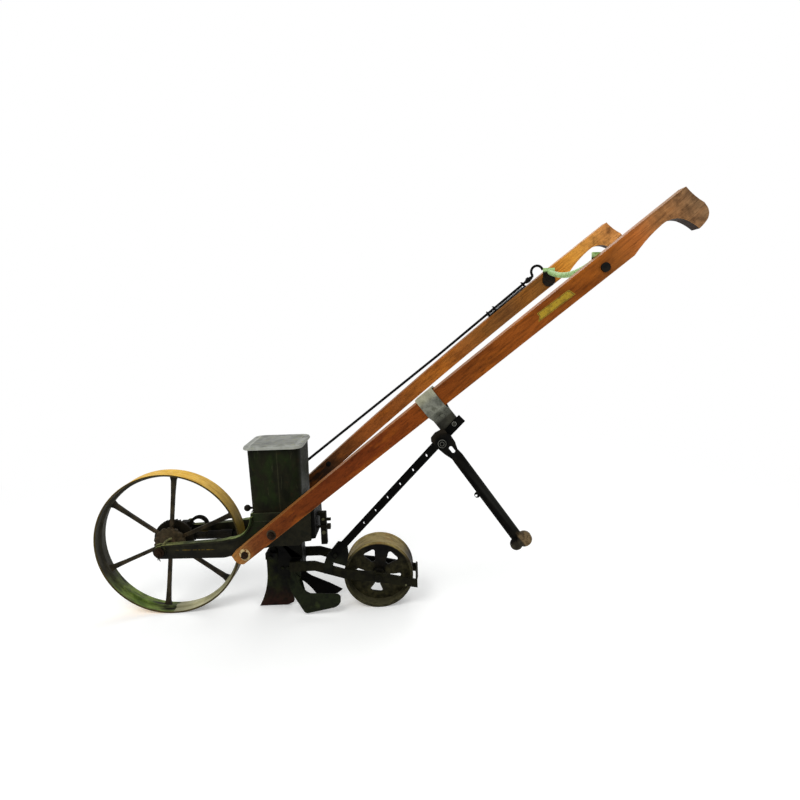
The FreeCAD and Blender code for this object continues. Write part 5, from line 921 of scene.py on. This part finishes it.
def planed(shape):
    """The bar's lower edge comes up, and its row of holes stays in the middle of what is left."""
    foot, pivot = at(bar_foot[0], 0, bar_foot[1]), at(leg_pivot[0], 0, leg_pivot[1])
    run = (pivot - foot).normalized()
    across = Vector((-run.z, 0, run.x))
    hole_reach, first_hole, last_hole, planed_off = 0.006, 0.1, 0.385, 0.005
    for corner in shape.verts:
        away = corner.co - foot
        rise, along = away.dot(across), away.dot(run)
        if rise < -hole_reach:
            corner.co += across * planed_off
        elif rise < hole_reach and first_hole < along < last_hole:
            corner.co += across * planed_off / 2


softened("leg_clamp", "frame", 0.7, black_iron)
softened("perforated_bar", "frame", 0.5, black_iron, dress=planed)
softened("brace_bracket", "frame", 0.7, bracket_iron)


def strap_coat(where):
    """Oiled sheet steel: olive grey and satin above, darkened by painted shade where it goes under the handle, with a
    painted highlight at its top edge.
    """
    parts = measured(where, foot_along, slope)
    rise = add(where, "ShaderNodeMath", {0: parts["Z"], 1: foot_across}, operation="SUBTRACT").outputs[0]
    return layered(mottled(where, ("#4c4d40", "#63645a", "#7b7c70", "#56574b"), 24),
                   # Painted shade on the part under the handle, then a painted highlight along the top edge.
                   (mottled(where, ("#1e1d16", "#2c2b22", "#38372c"), 20), between(rise, -0.022, -0.034)),
                   ("#b5b394", between(rise, 0.018, 0.03), 0.5))


strap_steel = old_paint("olive_strap_steel", strap_coat, chip=0.69, rub=0.1, gloss=0.45, shine=0.15)
softened("handle_strap", "frame", 0.5, strap_steel)


def leg_coat(where):
    """Black iron with a grey streak down the channel's side, painted highlight over rubbed wear; the foot is rusted tan
    behind and rubbed brown in front.
    """
    hang, pivot = math.radians(53.5), at(leg_pivot[0], 0, leg_pivot[1])
    start = pivot.x * math.cos(hang) - pivot.z * math.sin(hang)
    middle = pivot.x * math.sin(hang) + pivot.z * math.cos(hang)
    parts = measured(where, 0, -hang)
    down = add(where, "ShaderNodeMath", {0: parts["X"], 1: start}, operation="SUBTRACT").outputs[0]
    side = between(parts["Z"], middle + 0.001, middle + 0.005)
    rust = mottled(where, ("#3f3424", "#5d4c34", "#7a6648", "#4a3d2a"), 10)
    worn = mottled(where, ("#1c1a14", "#2c2920", "#3a362a"), 12)
    return layered(mottled(where, ("#030303", "#080705", "#12100b"), 24),
                   (rust, between(down, 0.262, 0.274), side),
                   (worn, between(down, 0.275, 0.285), between(side, 1, 0)),
                   # Painted highlight with some rubbed wear: a grey streak down one side of the channel.
                   ("#2a2a26", band(down, 0.10, 0.265, 0.05), side, 0.55))


leg_iron = old_paint("leg_iron", leg_coat, bare=("#2b190d", "#1c130c", "#3a2a1a"), chip=0.7, rub=0.18, arris=1.0,
                     gloss=0.55, shine=0.05, grit=1.0, grime=0.15)
softened("stand_leg", "leg", 0.4, leg_iron)

# The clip that holds the leg's pivot to the bar: a flat ear of brown-black sheet behind the leg's head.
clip_y, clip_thickness = -234.4, 0.003
ear = bmesh.new()
front = ear.faces.new([ear.verts.new(at(x, clip_y, z)) for x, z in (
    (717, 523), (725, 517), (731, 506), (732, 493), (726, 482), (713, 478), (702, 487), (692, 494), (691.5, 504),
    (701, 515))])
ear.normal_update()
for corner in bmesh.ops.extrude_face_region(ear, geom=[front])["geom"]:
    if isinstance(corner, bmesh.types.BMVert):
        corner.co.y -= clip_thickness
bmesh.ops.recalc_face_normals(ear, faces=ear.faces)
clip_mesh = bpy.data.meshes.new("pivot_clip")
ear.to_mesh(clip_mesh)
ear.free()
clip_mesh.materials.append(greased_iron("brown_clip_iron", ("#0d0b08", "#1a1610", "#262018"), gloss=0.6))
clip = placed("pivot_clip", clip_mesh)
round_over(clip, 0.8)
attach(clip, "frame")


def ring_round(centre, across, over, half, corners):
    """Points of a ring in the plane of two ways; half is its radius in millimetres."""
    turns = [2 * math.pi * k / corners for k in range(corners)]
    return [centre + (across * math.cos(turn) + over * math.sin(turn)) * (half / 1000) for turn in turns]


# Spring steel: still bright, with a soft shine under dust.
spring_steel = old_paint("bright_spring_steel", ("#45453e", "#66665d", "#82827a"), chip=0.68, rub=0.2, gloss=0.4,
                         shine=0.4, grime=0.3)
cap, _ = on_face("leg_clamp", *leg_pivot, -400, 1)
wired("pivot_spring", [ring_round(cap + left * (lift / 1000), Vector((1, 0, 0)), up, half, 16)
                       for half, lift in ((8.8, 0.5), (4.4, 1.0))], spring_steel, 0.6, bend=0.1, closed=True)
head, way = on_face("handle_strap", 743.5, 532, -400, 1)
strap_ring = ring_round(head + way * 0.0004, way.cross(up).normalized(), up, 4.7, 16)
wired("strap_nut_rings", [strap_ring], spring_steel, 0.7, bend=0.1, closed=True)


# ---------------------------------------------------------------- clutch rod
# A round rod runs from the clutch lever up to a finger hook on the right handle. It slides in two wire eyes
# with split pins, above a thin plate on the handle's upper edge.

rod_iron = greased_iron("rod_iron", ("#040404", "#0a0908", "#14120f"), gloss=0.5)
for node in ("clutch_rod", "clutch_lever", "rod_guide"):
    softened(node, "frame", 0.4, rod_iron)
rod_way = Vector((math.cos(slope), 0, math.sin(slope)))
rod_up = Vector((-math.sin(slope), 0, math.cos(slope)))


rod_half = 0.0037
upper_run = (883, 222.4, 763.3)


def on_rod(x):
    """The middle of the rod's upper run at this many millimetres behind the axle."""
    start_x, y, start_z = upper_run
    z = start_z + (x - start_x) * 0.79
    return (on_face("clutch_rod", x, z, 0, 1)[0] or at(x, y, z)) + right * rod_half


wired("rod_eyes", [ring_round(on_rod(x), right, rod_up, 6.8, 12) for x in (884, 903, 988)], rod_iron, 2.1, bend=0.1,
      closed=True)
# Each pin is three wires, given as millimetres along the rod, to the right and up from its middle.
pins = [[middle + (rod_way * along + right * aside + rod_up * rise) / 1000 for along, aside, rise in wire]
        for middle in (on_rod(903), on_rod(988))
        for wire in (((0, 0, -13), (4, 0, -6)), ((-2, 0, 9), (0, -6, 1), (-4, 0, -12)), ((-4, -12, 0), (-3, 10, 0)))]
wired("split_pins", pins, rod_iron, 1.4, bend=2)
turned("hook_sleeve", [(on_rod(996), rod_way, 5.4)], rod_iron, 12, ((0.6, 1.06), (3.6, 1.0), (4.3, 0.66)))
